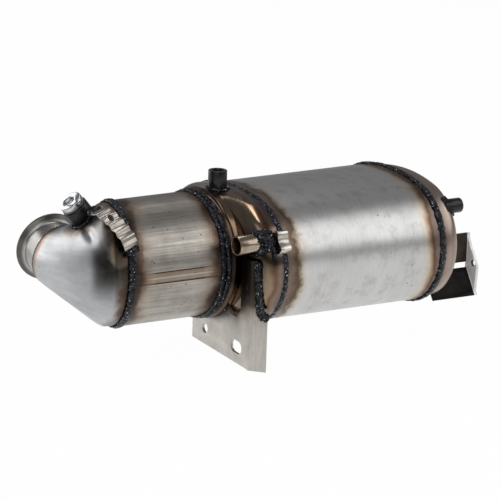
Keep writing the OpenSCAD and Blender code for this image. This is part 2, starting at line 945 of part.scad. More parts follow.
module rear_bracket_weld() {
  color([0.12, 0.12, 0.14])
    difference() {
      for (z = [leg_low + 3 : 3 : leg_top - 4])
        translate([cap_x + outlet_depth * 0.55, leg_y - bracket_t, z])
          sphere(r = 3.4, $fn = 24);
      outlet_block();
      translate([cap_x, leg_y - bracket_t - bead_gap, foot_low])
        cube([rear_reach, foot_run, -2 * foot_low]);
    }
}

// A thin strap standing off a can of radius r, waved as it goes round, drawn as a flat outline
module strap(r, from, to, lift, wave, waves, thick, width) {
  n = 60;
  turn = (to - from) / n;
  heights = [for (i = [0 : n]) r + (lift + wave * sin(i / n * 360 * waves)) * min(1, 8 * min(i, n - i) / n)];
  top = [for (i = [0 : n]) (heights[i] + thick) * [-cos(from + i * turn), sin(from + i * turn)]];
  low = [for (i = [n : -1 : 0]) heights[i] * [-cos(from + i * turn), sin(from + i * turn)]];
  translate([-width / 2, 0, 0])
    along_x()
      linear_extrude(height = width)
        polygon(concat(top, low));
}

// Where the strap over the elbow's joint sits, turned to follow the slanted weld
module at_clip() {
  translate([clip_x, 0, 0])
    rotate([90 - clip_angle, 0, 0])
      rotate([0, 0, 20])
        rotate([clip_angle - 90, 0, 0])
          children();
}

module shield_clip() {
  color([0.75, 0.7, 0.62])
    at_clip()
      difference() {
        strap(cat_r + 2.1, clip_angle - clip_span / 2, clip_angle + clip_span / 2, 2.8, 0.9, 6, 1.2, clip_w);
        rotate([82 - clip_angle, 0, 0])
          translate([0, 0, cat_r - 2])
            cylinder(d = clip_hole_d, h = 20);
      }
}

// A short bead across the end of the strap, at an angle past its middle
module clip_bead(angle) {
  at_clip()
    rotate([90 - clip_angle - angle, 0, 0])
      translate([-clip_w / 2 + 1, 0, cat_r + 1])
        rotate([0, 90, 0])
          cylinder(r = 3, h = clip_w - 2, $fn = 32);
}

module shield_clip_welds() {
  color([0.12, 0.12, 0.14]) {
    difference() {
      clip_bead(clip_span / 2 + 3);
      elbow_block();
    }
    difference() {
      clip_bead(-clip_span / 2 - 3);
      tube(cat_r + 1.7, 10, -90, 60);
    }
  }
}

module side_clip() {
  color([0.75, 0.72, 0.66])
    translate([ring3_x - 2, oval_dy - end_c, oval_dz])
      strap(oval_end_r + skirt_off + 1 + bead_gap, 18, 39, 4, 1.4, 1.5, 1, side_clip_w);
}

place() inlet_flange();
place() inlet_weld();
place() inlet_elbow();
place() elbow_boss();
place() elbow_boss_weld();
place() boss_washer();
place() boss_plug();
place() elbow_weld();
place() shield_clip();
place() shield_clip_welds();
place() catalyst_can();
place() catalyst_mat();
place() catalyst_brick();
place() catalyst_weld();
place() transition_cone();
place() top_boss();
place() top_boss_weld();
place() side_tube();
place() side_tube_weld();
place() side_clip();
place() front_bracket();
place() front_bracket_weld();
place() cone_weld();
place() filter_can();
place() filter_mat();
place() filter_brick();
place() outlet_weld();
place() outlet_cone();
place() end_boss();
place() end_boss_weld();
place() rear_bracket();
place() rear_bracket_weld();
place() outlet_pipe();
place() outlet_pipe_weld();
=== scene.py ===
"""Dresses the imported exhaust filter: formed steel shells, rippled weld beads, brackets and bosses.

Shapes are worked out in the can frame, in millimetres: X runs along the catalyst can from inlet to
outlet, Z is up, and X = 0 is where the slanted inlet weld crosses the can's axis.
"""

import json
import math
from collections import namedtuple

import bmesh
import bpy
import numpy as np
from mathutils import Matrix, Vector
from mathutils.bvhtree import BVHTree


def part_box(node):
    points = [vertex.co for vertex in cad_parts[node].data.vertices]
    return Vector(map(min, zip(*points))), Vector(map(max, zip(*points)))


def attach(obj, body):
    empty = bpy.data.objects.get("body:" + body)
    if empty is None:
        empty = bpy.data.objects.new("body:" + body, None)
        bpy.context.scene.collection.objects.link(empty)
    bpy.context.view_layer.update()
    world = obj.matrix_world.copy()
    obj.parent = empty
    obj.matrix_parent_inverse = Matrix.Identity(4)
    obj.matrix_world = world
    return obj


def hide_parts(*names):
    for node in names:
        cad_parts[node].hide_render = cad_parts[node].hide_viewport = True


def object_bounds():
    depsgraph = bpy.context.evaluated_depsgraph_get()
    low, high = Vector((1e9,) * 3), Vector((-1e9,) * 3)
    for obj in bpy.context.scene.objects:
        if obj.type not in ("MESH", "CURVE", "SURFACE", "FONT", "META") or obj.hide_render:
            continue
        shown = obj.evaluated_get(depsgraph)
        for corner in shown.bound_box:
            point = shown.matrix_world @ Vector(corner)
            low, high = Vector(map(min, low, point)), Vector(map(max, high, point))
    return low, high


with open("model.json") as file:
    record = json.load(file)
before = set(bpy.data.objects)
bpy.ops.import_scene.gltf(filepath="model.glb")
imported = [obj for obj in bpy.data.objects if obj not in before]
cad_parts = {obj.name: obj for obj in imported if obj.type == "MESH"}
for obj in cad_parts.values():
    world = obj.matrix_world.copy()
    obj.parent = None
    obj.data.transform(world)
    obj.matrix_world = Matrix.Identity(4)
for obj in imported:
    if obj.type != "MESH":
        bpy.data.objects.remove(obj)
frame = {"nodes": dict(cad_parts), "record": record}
cad_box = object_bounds()

BODY = "root"
MM = 0.001

# The can frame's zero: on the can's axis, the can's length before the cone's start
CAT_LEN = 94.5
CAN_AXIS = sum(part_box("catalyst_brick"), Vector()) / 2
ZERO = np.array([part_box("transition_cone")[0].x - CAT_LEN * MM, CAN_AXIS.y, CAN_AXIS.z])


def to_row(points):
    """Can-frame millimetres to the frame's metres."""
    return np.asarray(points) * MM + ZERO


def to_can(points):
    """The frame's metres to can-frame millimetres."""
    return (np.array(points) - ZERO) / MM


def can_box(node):
    """The low and high corners of a node's box in the can frame."""
    return [to_can(corner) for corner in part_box(node)]


def node_middle(node):
    return to_can(sum(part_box(node), Vector()) / 2)


def node_points(node):
    return to_can([vertex.co for vertex in frame["nodes"][node].data.vertices])


def unit(vector):
    vector = np.asarray(vector, float)
    return vector / np.linalg.norm(vector)


def smooth(t):
    return t * t * (3 - 2 * t)


# Places read from the frame, whose own zero is the middle of the inlet's mouth
CONE_START, CONE_END = (corner[0] for corner in can_box("transition_cone"))
OUTLET_START, OUTLET_END = (corner[0] for corner in can_box("outlet_cone"))
FILTER_LOW, FILTER_HIGH = can_box("filter_can")
OVAL_Y, OVAL_Z = (FILTER_LOW[1:] + FILTER_HIGH[1:]) / 2
OVAL_A, OVAL_B = (FILTER_HIGH[1:] - FILTER_LOW[1:]) / 2
RING_4 = FILTER_HIGH[0]
INLET = to_can((0, 0, 0))
INLET_DIR = np.array(next(m["axis"] for m in frame["record"]["mounts"] if m["name"] == "inlet"))
OUTLET_Y, OUTLET_Z = node_middle("outlet_pipe")[1:]

# Sheet metal sizes
SHELL_T = 1.5
SLIP = 0.2
CAT_R = 62.5
ELBOW_R = CAT_R - SHELL_T - SLIP
SKIRT_R = CAT_R + SLIP + SHELL_T
SKIRT_OFF = SLIP + SHELL_T
OUTLET_OFF = -SLIP - SHELL_T
LAP = 9.0
MITRE = math.tan(math.radians(12.5))
ELBOW_LAP = 5.0
SKIRT_LONG, SKIRT_SHORT = 17.0, 4.5
NECK_R, NECK_SHORT, NECK_LONG = 31.0, 12.0, 33.0
SPIGOT_R, RIM_R, BORE_R = 29.1, 35.5, 26.5
OVAL_END_R = OVAL_B - 4.0
COLLAR, CONE_SKIRT, RIB_H, RIB_X = 18.0, 10.0, 1.6, 8.4
OUTLET_SKIRT, OUTLET_DEPTH, OUTLET_R = 11.5, 30.0, 30.0
SEAM_ANGLE, SEAM_HALF, SEAM_H = 182.0, 5.5, 0.7
SEAM_EDGE, CROWN_W, CROWN_H = 0.9, 1.6, 0.35
REAR_HOLE, REAR_HOLE_R = (OVAL_Y - OVAL_A + 43.0, -32.5), 3.5

# The elbow's curves: how hard they leave each end, on the inner side and, added to it, on the outer one,
# and how much less per millimetre inside the skin
INNER_PULL, CAN_PULL, NECK_PULL = 6.0, 46.0, 69.0
WALL_PULL = 2.5

# The elbow's dent: its middle and reach, round in degrees and along as a share, its spread along and across
# its slant, its depth and its way
DENT_TURN, DENT_TURN_REACH = 130.0, 12.0
DENT_RUN, DENT_RUN_REACH = 0.37, 0.07
DENT_LONG, DENT_SHORT, DENT_DEPTH = 1.8, 0.85, 3.2
DENT_WAY = np.array([0.84, 0, -0.54])

# The elbow's boss: its place round and along the elbow, and its lean towards the inlet
BOSS_TURN, BOSS_RUN = 97.0, 0.45
BOSS_LEAN = math.radians(41)
ELBOW_BOSS_AXIS = unit([-math.sin(BOSS_LEAN), 0, math.cos(BOSS_LEAN)])

# The outlet end's shoulder and neck fillet, as shares of its run, and their shares of its depth
SHOULDER, FILLET = 0.15, 0.85
SHOULDER_RISE, MIDDLE_RISE, FILLET_RISE = 0.42, 0.25, 0.33

# Darkened patches, some burnt and some painted shade: their places and reach, in degrees round and
# otherwise in millimetres
SHADE_TURN, SHADE_TURN_REACH = 168.0, 28.0
SHADE_RUN, SHADE_RUN_REACH = 25.0, 21.0
BOSS_FOOT_R, FAR_BELOW, NO_HEAT, STRAP_REACH = 13.0, -30.0, 100.0, 3.0
SOOT_TURN, SOOT_TURN_REACH = 182.0, 21.0
SOOT_END, SOOT_FADE, CLIP_FADE = 44.0, 10.0, 6.0
TOP_SOOT_REACH, TUBE_SHADE_REACH = 15.0, 22.0
BELOW_TUBE = np.array([0, -7, -6])

# Weld beads in millimetres, and the lean of their ripples in radians
Bead = namedtuple("Bead", "width height pitch length")
ELBOW_BEAD = Bead(8.2, 1.7, 1.7, 5.0)
CAN_BEAD = Bead(7.4, 1.5, 1.9, 5.4)
COLLAR_BEAD = Bead(6.6, 1.5, 1.9, 5.4)
CONE_BEAD = Bead(8.6, 2.0, 1.9, 5.0)
OUTLET_BEAD = Bead(10.0, 2.2, 2.1, 6.0)
INLET_BEAD = Bead(3.6, 1.2, 1.3, 3.2)
PIPE_BEAD = Bead(4.0, 1.4, 1.4, 3.6)
FOOT_BEAD = Bead(4.6, 2.2, 2.6, 4.4)
TUBE_BEAD = Bead(8.5, 2.8, 3.6, 7.0)
CLIP_BEAD = Bead(7.0, 2.2, 3.0, 6.0)
PLATE_BEAD = Bead(4.6, 1.8, 2.0, 4.4)
HOOK_BEAD = Bead(11.0, 2.9, 2.4, 7.0)
REAR_BEAD = Bead(4.6, 2.2, 2.4, 4.4)
STRAP_BEAD = Bead(7.4, 3.0, 2.8, 6.0)
RIPPLE_TILT = -0.35

# How finely the shells and the paths round the bosses are drawn, and how far off a skin its search starts
ROUND = 256
RUN = 56
FOOT_ROUND = 72
CLEAR = 40.0

# Outlines and formed surfaces

END_C = OVAL_A - OVAL_END_R
FLAT_C = (END_C**2 - (OVAL_B - OVAL_END_R) ** 2) / (2 * (OVAL_B - OVAL_END_R))
FLAT_R = OVAL_B + FLAT_C
JOIN = math.atan2(FLAT_C, END_C)
INLET_SIDE = unit([INLET_DIR[1], -INLET_DIR[0], 0])
INLET_UP = np.cross(INLET_SIDE, INLET_DIR)
NECK_MID = (NECK_LONG + NECK_SHORT) / 2
NECK_SLOPE = (NECK_LONG - NECK_SHORT) / 2 / NECK_R
SKIRT_FAR = MITRE * ELBOW_R - SKIRT_SHORT
SKIRT_NEAR = -MITRE * ELBOW_R - SKIRT_LONG
SKIRT_MID = (SKIRT_FAR + SKIRT_NEAR) / 2
SKIRT_SLOPE = (SKIRT_FAR - SKIRT_NEAR) / 2 / ELBOW_R


def angles(count=ROUND):
    return np.arange(count) * 2 * math.pi / count


def circle(x, r, cy=0.0, cz=0.0):
    a = angles()
    return np.stack([np.full(ROUND, float(x)), cy + r * np.cos(a), cz + r * np.sin(a)], 1)


def oval(x, off):
    """The oval of four tangent arcs, grown by off."""
    a = angles()
    c, s = np.abs(np.cos(a)), np.abs(np.sin(a))
    r1, r2 = OVAL_END_R + off, FLAT_R + off
    on_end = s * (END_C + r1 * math.cos(JOIN)) < c * r1 * math.sin(JOIN)
    end = END_C * c + np.sqrt(np.maximum(r1**2 - (END_C * s) ** 2, 0))
    flat = -FLAT_C * s + np.sqrt(np.maximum(r2**2 - (FLAT_C * c) ** 2, 0))
    rho = np.where(on_end, end, flat)
    return np.stack([np.full(ROUND, float(x)), OVAL_Y + rho * np.cos(a), OVAL_Z + rho * np.sin(a)], 1)


def mitre_ring(r, step, slope=MITRE):
    """A ring of radius r in the plane x = step + slope * y."""
    ring = circle(0, r)
    ring[:, 0] = step + slope * ring[:, 1]
    return ring


def neck_ring(r, step):
    """A ring round the inlet, in the slanted plane of the neck's end, moved out by step."""
    a = angles()
    c, s = np.cos(a)[:, None], np.sin(a)[:, None]
    return INLET - (NECK_MID - NECK_SLOPE * r * c - step) * INLET_DIR + r * (c * INLET_SIDE + s * INLET_UP)


def elbow_ring(t, inset):
    """A ring of the elbow: from the can's skirt at t = 0 to the inlet neck at t = 1."""
    a = angles()
    outer_side = ((1 - np.cos(a)) / 2)[:, None] ** 1.5
    p0 = mitre_ring(ELBOW_R - inset, SKIRT_MID, SKIRT_SLOPE)
    p1 = neck_ring(NECK_R - inset, 0)
    t0 = -(INNER_PULL + (CAN_PULL - WALL_PULL * inset) * outer_side) * np.array([1.0, 0, 0])
    t1 = (INNER_PULL + (NECK_PULL - WALL_PULL * inset) * outer_side) * INLET_DIR
    curve = (2 * t**3 - 3 * t**2 + 1) * p0 + (t**3 - 2 * t**2 + t) * t0
    curve = curve + (3 * t**2 - 2 * t**3) * p1 + (t**3 - t**2) * t1
    down, left = (np.degrees(a) - DENT_TURN) / DENT_TURN_REACH, (t - DENT_RUN) / DENT_RUN_REACH
    dent = np.exp(-(((down - left) / DENT_LONG) ** 2) - ((down + left) / DENT_SHORT) ** 2)
    return curve + DENT_DEPTH * dent[:, None] * DENT_WAY


def cone_ring(t, inset):
    """A ring of the middle cone, from its round collar at t = 0 to its oval skirt at t = 1."""
    x0, x1 = CONE_START + COLLAR, CONE_END - CONE_SKIRT
    s = smooth(t**0.45)
    x = x0 + (x1 - x0) * t + inset * math.sin(math.pi * t)
    return (1 - s) * circle(x, SKIRT_R - inset) + s * oval(x, SKIRT_OFF - inset)


def outlet_rise(u):
    """How far the outlet end has risen at u, as a share of its depth."""
    shoulder = SHOULDER_RISE * math.sqrt(1 - (1 - min(u / SHOULDER, 1)) ** 2)
    turned = max(u - FILLET, 0) / (1 - FILLET)
    return shoulder + MIDDLE_RISE * u + FILLET_RISE * (1 - math.sqrt(max(0, 1 - turned**2)))


def outlet_ring(u, inset):
    """A ring of the outlet cone, from its oval skirt at u = 0 to the outlet neck at u = 1."""
    x = RING_4 + OUTLET_SKIRT + OUTLET_DEPTH * outlet_rise(u) - inset * math.sin(math.pi * u)
    neck = circle(x, OUTLET_R + SKIRT_OFF - inset, OUTLET_Y, OUTLET_Z)
    return (1 - u) * oval(x, OUTLET_OFF - inset) + u * neck


# Meshes

def settle(piece, node, material):
    """Gives a finished piece its material, its body and the node it stands for."""
    piece.data.materials.clear()
    piece.data.materials.append(material)
    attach(piece, BODY)
    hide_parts(node)
    return piece


def linked_object(name, data):
    piece = bpy.data.objects.new(name, data)
    bpy.context.scene.collection.objects.link(piece)
    return piece


def shade(mesh, sharp):
    """Shades a mesh smooth up to the given edge angle."""
    mesh.shade_smooth()
    mesh.set_sharp_from_angle(angle=math.radians(sharp))


def face_outwards(mesh, sharp):
    """Points a closed mesh's faces outwards and shades it."""
    work = bmesh.new()
    work.from_mesh(mesh)
    bmesh.ops.recalc_face_normals(work, faces=work.faces)
    work.to_mesh(mesh)
    work.free()
    shade(mesh, sharp)


def run_lengths(rings):
    """Length along the surface from the first ring to each ring, point by point."""
    steps = [np.linalg.norm(b - a, axis=1) for a, b in zip(rings, rings[1:])]
    return np.cumsum([np.zeros(len(rings[0]))] + steps, axis=0)


def ring_mesh(name, rings):
    """A closed skin over rings of equal count, the last joined to the first, and its faces' corners."""
    count, n = len(rings), len(rings[0])
    k = np.arange(n)
    nxt = (k + 1) % n
    faces = []
    for i in range(count):
        here, there = i * n, (i + 1) % count * n
        faces.append(np.stack([here + k, here + nxt, there + nxt, there + k], 1))
    faces = np.concatenate(faces)
    mesh = bpy.data.meshes.new(name)
    mesh.from_pydata(to_row(np.concatenate(rings)).tolist(), [], faces.tolist())
    return mesh, faces


def add_field(mesh, name, values):
    """Stores a number for each point of a mesh."""
    values = np.asarray(values, np.float32).reshape(-1)
    mesh.attributes.new(name, "FLOAT", "POINT").data.foreach_set("value", values)


def shell_mesh(name, outer, inner, start_weld=0.0, end_weld=0.0, extra=None):
    """A closed wall from outer and inner rings, with a UV map in metres round and along it.

    Each point carries its distance from the welds at both ends, in millimetres, and extra attributes.
    """
    rings = list(outer) + list(inner)[::-1]
    count, n = len(rings), len(rings[0])
    mesh, faces = ring_mesh(name, rings)
    lengths = run_lengths(outer)
    along = np.concatenate([lengths, lengths[::-1]])
    girth = np.linalg.norm(np.diff(outer[len(outer) // 2], axis=0), axis=1).mean() * n
    columns = np.tile(np.array([0, 1, 1, 0]), len(faces)) + np.repeat(np.tile(np.arange(n), count), 4)
    uv = np.stack([columns / n * girth * MM, along.reshape(-1)[faces.reshape(-1)] * MM], 1)
    mesh.uv_layers.new(name="round_along").data.foreach_set("uv", uv.reshape(-1))
    add_field(mesh, "from_start", along - start_weld)
    add_field(mesh, "from_end", lengths[-1] - along - end_weld)
    for key, value in (extra or {}).items():
        add_field(mesh, key, np.concatenate([value, value[::-1]]))
    face_outwards(mesh, 35)
    return mesh


def eased(points, radius, steps=3):
    """Rounds the corners of a closed outline of (radius, height) points."""
    points = [np.array(p, float) for p in points]
    result = []
    for before, here, after in zip(points[-1:] + points[:-1], points, points[1:] + points[:1]):
        room = min(radius, 0.4 * np.linalg.norm(before - here), 0.4 * np.linalg.norm(after - here))
        a, b = here + room * unit(before - here), here + room * unit(after - here)
        for t in np.linspace(0, 1, steps):
            result.append((1 - t) ** 2 * a + 2 * t * (1 - t) * here + t**2 * b)
    return result


def plain_mesh(piece):
    """The mesh that a piece's modifiers make of it; the modifiers are then removed."""
    view = bpy.context.evaluated_depsgraph_get()
    mesh = bpy.data.meshes.new_from_object(piece.evaluated_get(view))
    piece.modifiers.clear()
    return mesh


def node_copy(name, node, bevel):
    """A merged copy of an exact node with its sharp edges eased by bevel millimetres."""
    merged = frame["nodes"][node].data.copy()
    work = bmesh.new()
    work.from_mesh(merged)
    bmesh.ops.remove_doubles(work, verts=work.verts, dist=2e-6)
    bmesh.ops.dissolve_limit(work, angle_limit=math.radians(1), verts=work.verts, edges=work.edges)
    work.to_mesh(merged)
    work.free()
    piece = linked_object(name, merged)
    modifier = piece.modifiers.new("eased_edges", "BEVEL")
    modifier.width = bevel * MM
    modifier.segments = 2
    modifier.limit_method = "ANGLE"
    modifier.angle_limit = math.radians(40)
    piece.data = plain_mesh(piece)
    bpy.data.meshes.remove(merged)
    piece.data.name = name
    shade(piece.data, 30)
    return piece


# Nodes

def set_inputs(tree, node, inputs):
    """Gives each named or numbered input its value, or a link from a socket."""
    for key, value in inputs.items():
        if isinstance(value, bpy.types.NodeSocket):
            tree.links.new(value, node.inputs[key])
        else:
            node.inputs[key].default_value = value


def add_node(tree, kind, inputs=None, **settings):
    """Adds a node with its settings and inputs."""
    node = tree.nodes.new(kind)
    for key, value in settings.items():
        setattr(node, key, value)
    set_inputs(tree, node, inputs or {})
    return node


# Weld beads

def weld_tree():
    """Lays overlapping ripples along a path, each turned to the path and to the surface under it."""
    tree = bpy.data.node_groups.new("weld_bead", "GeometryNodeTree")
    identifiers = {}
    for title, kind in [
        ("Path", "Geometry"),
        ("Pitch", "Float"),
        ("Ripple Length", "Float"),
        ("Bead Width", "Float"),
        ("Bead Height", "Float"),
        ("Unevenness", "Float"),
        ("Tilt", "Float"),
        ("Seed", "Int"),
        ("Weld Metal", "Material"),
    ]:
        socket = tree.interface.new_socket(title, in_out="INPUT", socket_type="NodeSocket" + kind)
        identifiers[title] = socket.identifier
    tree.interface.new_socket("Bead", in_out="OUTPUT", socket_type="NodeSocketGeometry")
    given = tree.nodes.new("NodeGroupInput").outputs

    def add(kind, inputs=None, **settings):
        return add_node(tree, kind, inputs, **settings).outputs[0]
    curve = add("GeometryNodeMeshToCurve", {"Mesh": given["Path"]})
    spaced = add("GeometryNodeResampleCurve", {"Curve": curve, "Length": given["Pitch"]}, mode="LENGTH")
    away = add("GeometryNodeInputNamedAttribute", {"Name": "away"}, data_type="FLOAT_VECTOR")
    axes = {"Primary Axis": away, "Secondary Axis": add("GeometryNodeInputTangent")}
    facing = add("FunctionNodeAxesToRotation", axes, primary_axis="Z", secondary_axis="X")
    lean = add("ShaderNodeCombineXYZ", {"Y": given["Tilt"]})
    turns = {"Rotation": facing, "Rotate By": lean}
    tipped = add("FunctionNodeRotateRotation", turns, rotation_space="LOCAL")
    ripple = add("GeometryNodeMeshUVSphere", {"Segments": 14, "Rings": 8, "Radius": 0.5})
    double = add("ShaderNodeMath", {0: given["Bead Height"], 1: 2}, operation="MULTIPLY")
    sizes = {"X": given["Ripple Length"], "Y": given["Bead Width"], "Z": double}
    size = add("ShaderNodeCombineXYZ", sizes)
    least = add("ShaderNodeMath", {0: 1, 1: given["Unevenness"]}, operation="SUBTRACT")
    limits = {"Min": least, "Max": (1, 1, 1), "Seed": given["Seed"]}
    chance = add("FunctionNodeRandomValue", limits, data_type="FLOAT_VECTOR")
    scale = add("ShaderNodeVectorMath", {0: size, 1: chance}, operation="MULTIPLY")
    laid = {"Points": spaced, "Instance": ripple, "Rotation": tipped, "Scale": scale}
    real = add("GeometryNodeRealizeInstances", {"Geometry": add("GeometryNodeInstanceOnPoints", laid)})
    soft = add("GeometryNodeSetShadeSmooth", {"Geometry": real})
    bead = add("GeometryNodeSetMaterial", {"Geometry": soft, "Material": given["Weld Metal"]})
    add_node(tree, "NodeGroupOutput", {"Bead": bead})
    return tree, identifiers


def lay_bead(path, away, bead, seed, closed=True, uneven=0.3):
    """One bead as a plain mesh: path and away are can-frame points and the directions off the surface."""
    count = len(path)
    edges = [(i, (i + 1) % count) for i in range(count if closed else count - 1)]
    mesh = bpy.data.meshes.new("bead_path")
    mesh.from_pydata(to_row(path).tolist(), edges, [])
    away = np.asarray(away, np.float32).reshape(-1)
    mesh.attributes.new("away", "FLOAT_VECTOR", "POINT").data.foreach_set("vector", away)
    line = linked_object("bead_path", mesh)
    modifier = line.modifiers.new("weld_bead", "NODES")
    modifier.node_group = WELD_TREE
    settings = {
        "Pitch": bead.pitch * MM,
        "Ripple Length": bead.length * MM,
        "Bead Width": bead.width * MM,
        "Bead Height": bead.height * MM,
        "Unevenness": uneven,
        "Tilt": RIPPLE_TILT,
        "Seed": seed,
        "Weld Metal": WELD_METAL,
    }
    for title, value in settings.items():
        modifier[WELD_INPUTS[title]] = value
    laid = plain_mesh(line)
    bpy.data.objects.remove(line)
    bpy.data.meshes.remove(mesh)
    return laid


def weld_piece(name, node, *beads):
    """Joins beads into the piece that stands for a weld node."""
    work = bmesh.new()
    for bead in beads:
        work.from_mesh(bead)
        bpy.data.meshes.remove(bead)
    mesh = bpy.data.meshes.new(name)
    work.to_mesh(mesh)
    work.free()
    mesh.shade_smooth()
    return settle(linked_object(name, mesh), node, WELD_METAL)


def wander(path, amount, seed):
    """Shifts a ring's points a little along X, so that a hand-laid bead isn't perfectly straight."""
    chance = np.random.default_rng(seed)
    a = angles()
    waves = range(2, 9)
    shifts = sum(chance.normal() / (k + 2) * np.sin(k * a + chance.uniform(0, 6.3)) for k in waves)
    path[:, 0] += amount * shifts
    return path


def foot_path(place, axis, r, skin):
    """A ring round the foot of a boss, dropped along its axis on to a skin."""
    axis = unit(axis)
    side = unit(np.cross(axis, [0, 1, 0.3]))
    other = np.cross(axis, side)
    path, away = [], []
    for a in angles(FOOT_ROUND):
        out = math.cos(a) * side + math.sin(a) * other
        start = to_row(np.asarray(place) + r * out + CLEAR * axis)
        hit = skin.ray_cast(Vector(start), Vector(-axis))
        if hit[0] is None:
            continue
        path.append(to_can(hit[0]))
        away.append(unit(out + np.array(hit[1])))
    return np.array(path), np.array(away)


# Material helpers

def new_material(name):
    material = bpy.data.materials.new(name)
    material.use_nodes = True
    return material, material.node_tree, material.node_tree.nodes["Principled BSDF"]


def math_node(tree, operation, first, second=0.0, clamp=False):
    """A maths node; each value is a number or a socket."""
    inputs = {0: first, 1: second}
    return add_node(tree, "ShaderNodeMath", inputs, operation=operation, use_clamp=clamp).outputs[0]


def blend(tree, first, second, share):
    """A sum of two values, with the given share of the first."""
    part = math_node(tree, "MULTIPLY", first, share)
    return math_node(tree, "ADD", part, math_node(tree, "MULTIPLY", second, 1 - share))


def ramp(tree, value, stops):
    """A colour ramp; each stop is a place and a colour with its strength."""
    node = tree.nodes.new("ShaderNodeValToRGB")
    elements = node.color_ramp.elements
    while len(elements) < len(stops):
        elements.new(0.5)
    for element, (place, colour) in zip(elements, stops):
        element.position = place
        element.color = tuple(colour) + (1.0,) * (4 - len(colour))
    tree.links.new(value, node.inputs["Fac"])
    return node


def two_tone(tree, value, dark, light, low=0.3, high=0.7):
    """A colour from dark to light as a value goes from low to high."""
    return ramp(tree, value, [(low, dark), (high, light)]).outputs["Color"]


def mix_colour(tree, amount, first, second):
    """A colour mix; each colour is a tuple or a socket."""
    first, second = (c + (1.0,) if isinstance(c, tuple) else c for c in (first, second))
    return add_node(tree, "ShaderNodeMix", {0: amount, 6: first, 7: second}, data_type="RGBA").outputs[2]


def noise(tree, scale, stretch=(1, 1, 1), coordinate="Object", detail=5.0, rough=0.55):
    """A noise value on the piece's own coordinates, stretched by a mapping."""
    place = add_node(tree, "ShaderNodeTexCoord").outputs[coordinate]
    mapped = add_node(tree, "ShaderNodeMapping", {"Vector": place, "Scale": stretch}).outputs["Vector"]
    inputs = {"Vector": mapped, "Scale": scale, "Detail": detail, "Roughness": rough}
    return add_node(tree, "ShaderNodeTexNoise", inputs).outputs["Fac"]


def attribute(tree, name):
    return add_node(tree, "ShaderNodeAttribute", attribute_name=name).outputs["Fac"]


def object_axis(tree, axis):
    """One of the piece's own coordinates, in the frame's metres."""
    place = add_node(tree, "ShaderNodeTexCoord").outputs["Object"]
    return add_node(tree, "ShaderNodeSeparateXYZ", {0: place}).outputs[axis]


def spread(tree, value, low, high, new_low, new_high):
    """Maps a value from one range to another, and no further."""
    inputs = {"Value": value, "From Min": low, "From Max": high, "To Min": new_low, "To Max": new_high}
    return add_node(tree, "ShaderNodeMapRange", inputs).outputs["Result"]


def finish(tree, shader, colour, metallic, gloss, height, strength, distance):
    """Joins a colour, the metal's share, a roughness and a bump to a material's shader."""
    relief = {"Height": height, "Strength": strength, "Distance": distance}
    set_inputs(tree, shader, {
        "Base Color": colour,
        "Metallic": metallic,
        "Roughness": gloss,
        "Normal": add_node(tree, "ShaderNodeBump", relief).outputs["Normal"],
    })


def tint(tree, colour, distance, ragged, reach, stops):
    """Heat colours beside a weld: stops run from the weld outwards over reach millimetres."""
    shift = math_node(tree, "MULTIPLY", math_node(tree, "SUBTRACT", ragged, 0.5), reach * 0.9)
    place = math_node(tree, "DIVIDE", math_node(tree, "ADD", distance, shift), reach, clamp=True)
    heat = ramp(tree, place, stops)
    return mix_colour(tree, heat.outputs["Alpha"], colour, heat.outputs["Color"])


def specks(tree, colour, size, amount, dark):
    """Small scattered dark marks."""
    marks = noise(tree, size, detail=2.0)
    mask = ramp(tree, marks, [(1 - amount, (0, 0, 0)), (1 - amount + 0.04, (1, 1, 1))]).outputs["Color"]
    return mix_colour(tree, mask, colour, dark)


def steel(name, dark, light, rough, brush, blotch, grain_bump, contrast):
    """Formed or rolled steel: brush is the grain's stretch round and along the piece."""
    material, tree, shader = new_material(name)
    grain = noise(tree, 1.0, (brush[0], brush[1], 1), "UV", 6.0, 0.6)
    both = blend(tree, grain, noise(tree, blotch, detail=4.0), 0.6)
    gloss = spread(tree, both, 0.3, 0.7, rough + 0.08, rough - 0.06)
    colour = two_tone(tree, both, dark, light, *contrast)
    finish(tree, shader, colour, 1.0, gloss, grain, grain_bump, 0.0004)
    return material, tree, shader, colour


# Materials

def elbow_steel():
    """Satin pressed steel, browned at both welds, with painted shade beside the can's weld and under the
    strap.
    """
    material, tree, shader, colour = steel(
        "elbow_steel", (0.345, 0.35, 0.36), (0.515, 0.521, 0.535), 0.37, (60, 14), 22.0, 0.05, (0.35, 0.65)
    )
    ragged = noise(tree, 60.0)
    colour = tint(tree, colour, attribute(tree, "from_start"), ragged, 22.0, [
        (0.0, (0.03, 0.023, 0.02, 1)),
        (0.3, (0.085, 0.054, 0.038, 1)),
        (0.5, (0.10, 0.067, 0.047, 0.9)),
        (0.75, (0.20, 0.148, 0.108, 0.5)),
        (1.0, (0.6, 0.55, 0.45, 0)),
    ])
    # Painted shade: a ragged near-black patch on the elbow beside the can's weld
    painted_shade = attribute(tree, "painted_shade")
    painted_shade = math_node(tree, "MULTIPLY", painted_shade, spread(tree, ragged, 0.3, 0.7, 0.9, 1.02), clamp=True)
    colour = mix_colour(tree, painted_shade, colour, (0.022, 0.020, 0.016))
    colour = tint(tree, colour, attribute(tree, "from_end"), ragged, 11.0, [
        (0.0, (0.16, 0.13, 0.14, 1)),
        (0.35, (0.30, 0.19, 0.13, 0.8)),
        (0.7, (0.55, 0.43, 0.28, 0.4)),
        (1.0, (0.6, 0.55, 0.45, 0)),
    ])
    # Near-black round the boss's foot and along the waved strap: heat colour at the boss and at the strap's
    # welds, and painted shade under the strap
    for place, reach in (("from_boss", 18.0), ("from_clip", 16.0)):
        colour = tint(tree, colour, attribute(tree, place), ragged, reach, [
            (0.0, (0.014, 0.011, 0.009, 1)),
            (0.3, (0.06, 0.041, 0.03, 0.97)),
            (0.6, (0.14, 0.10, 0.072, 0.7)),
            (1.0, (0.4, 0.35, 0.29, 0)),
        ])
    marked = specks(tree, colour, 210.0, 0.27, (0.10, 0.09, 0.08))
    set_inputs(tree, shader, {"Base Color": marked})
    return material


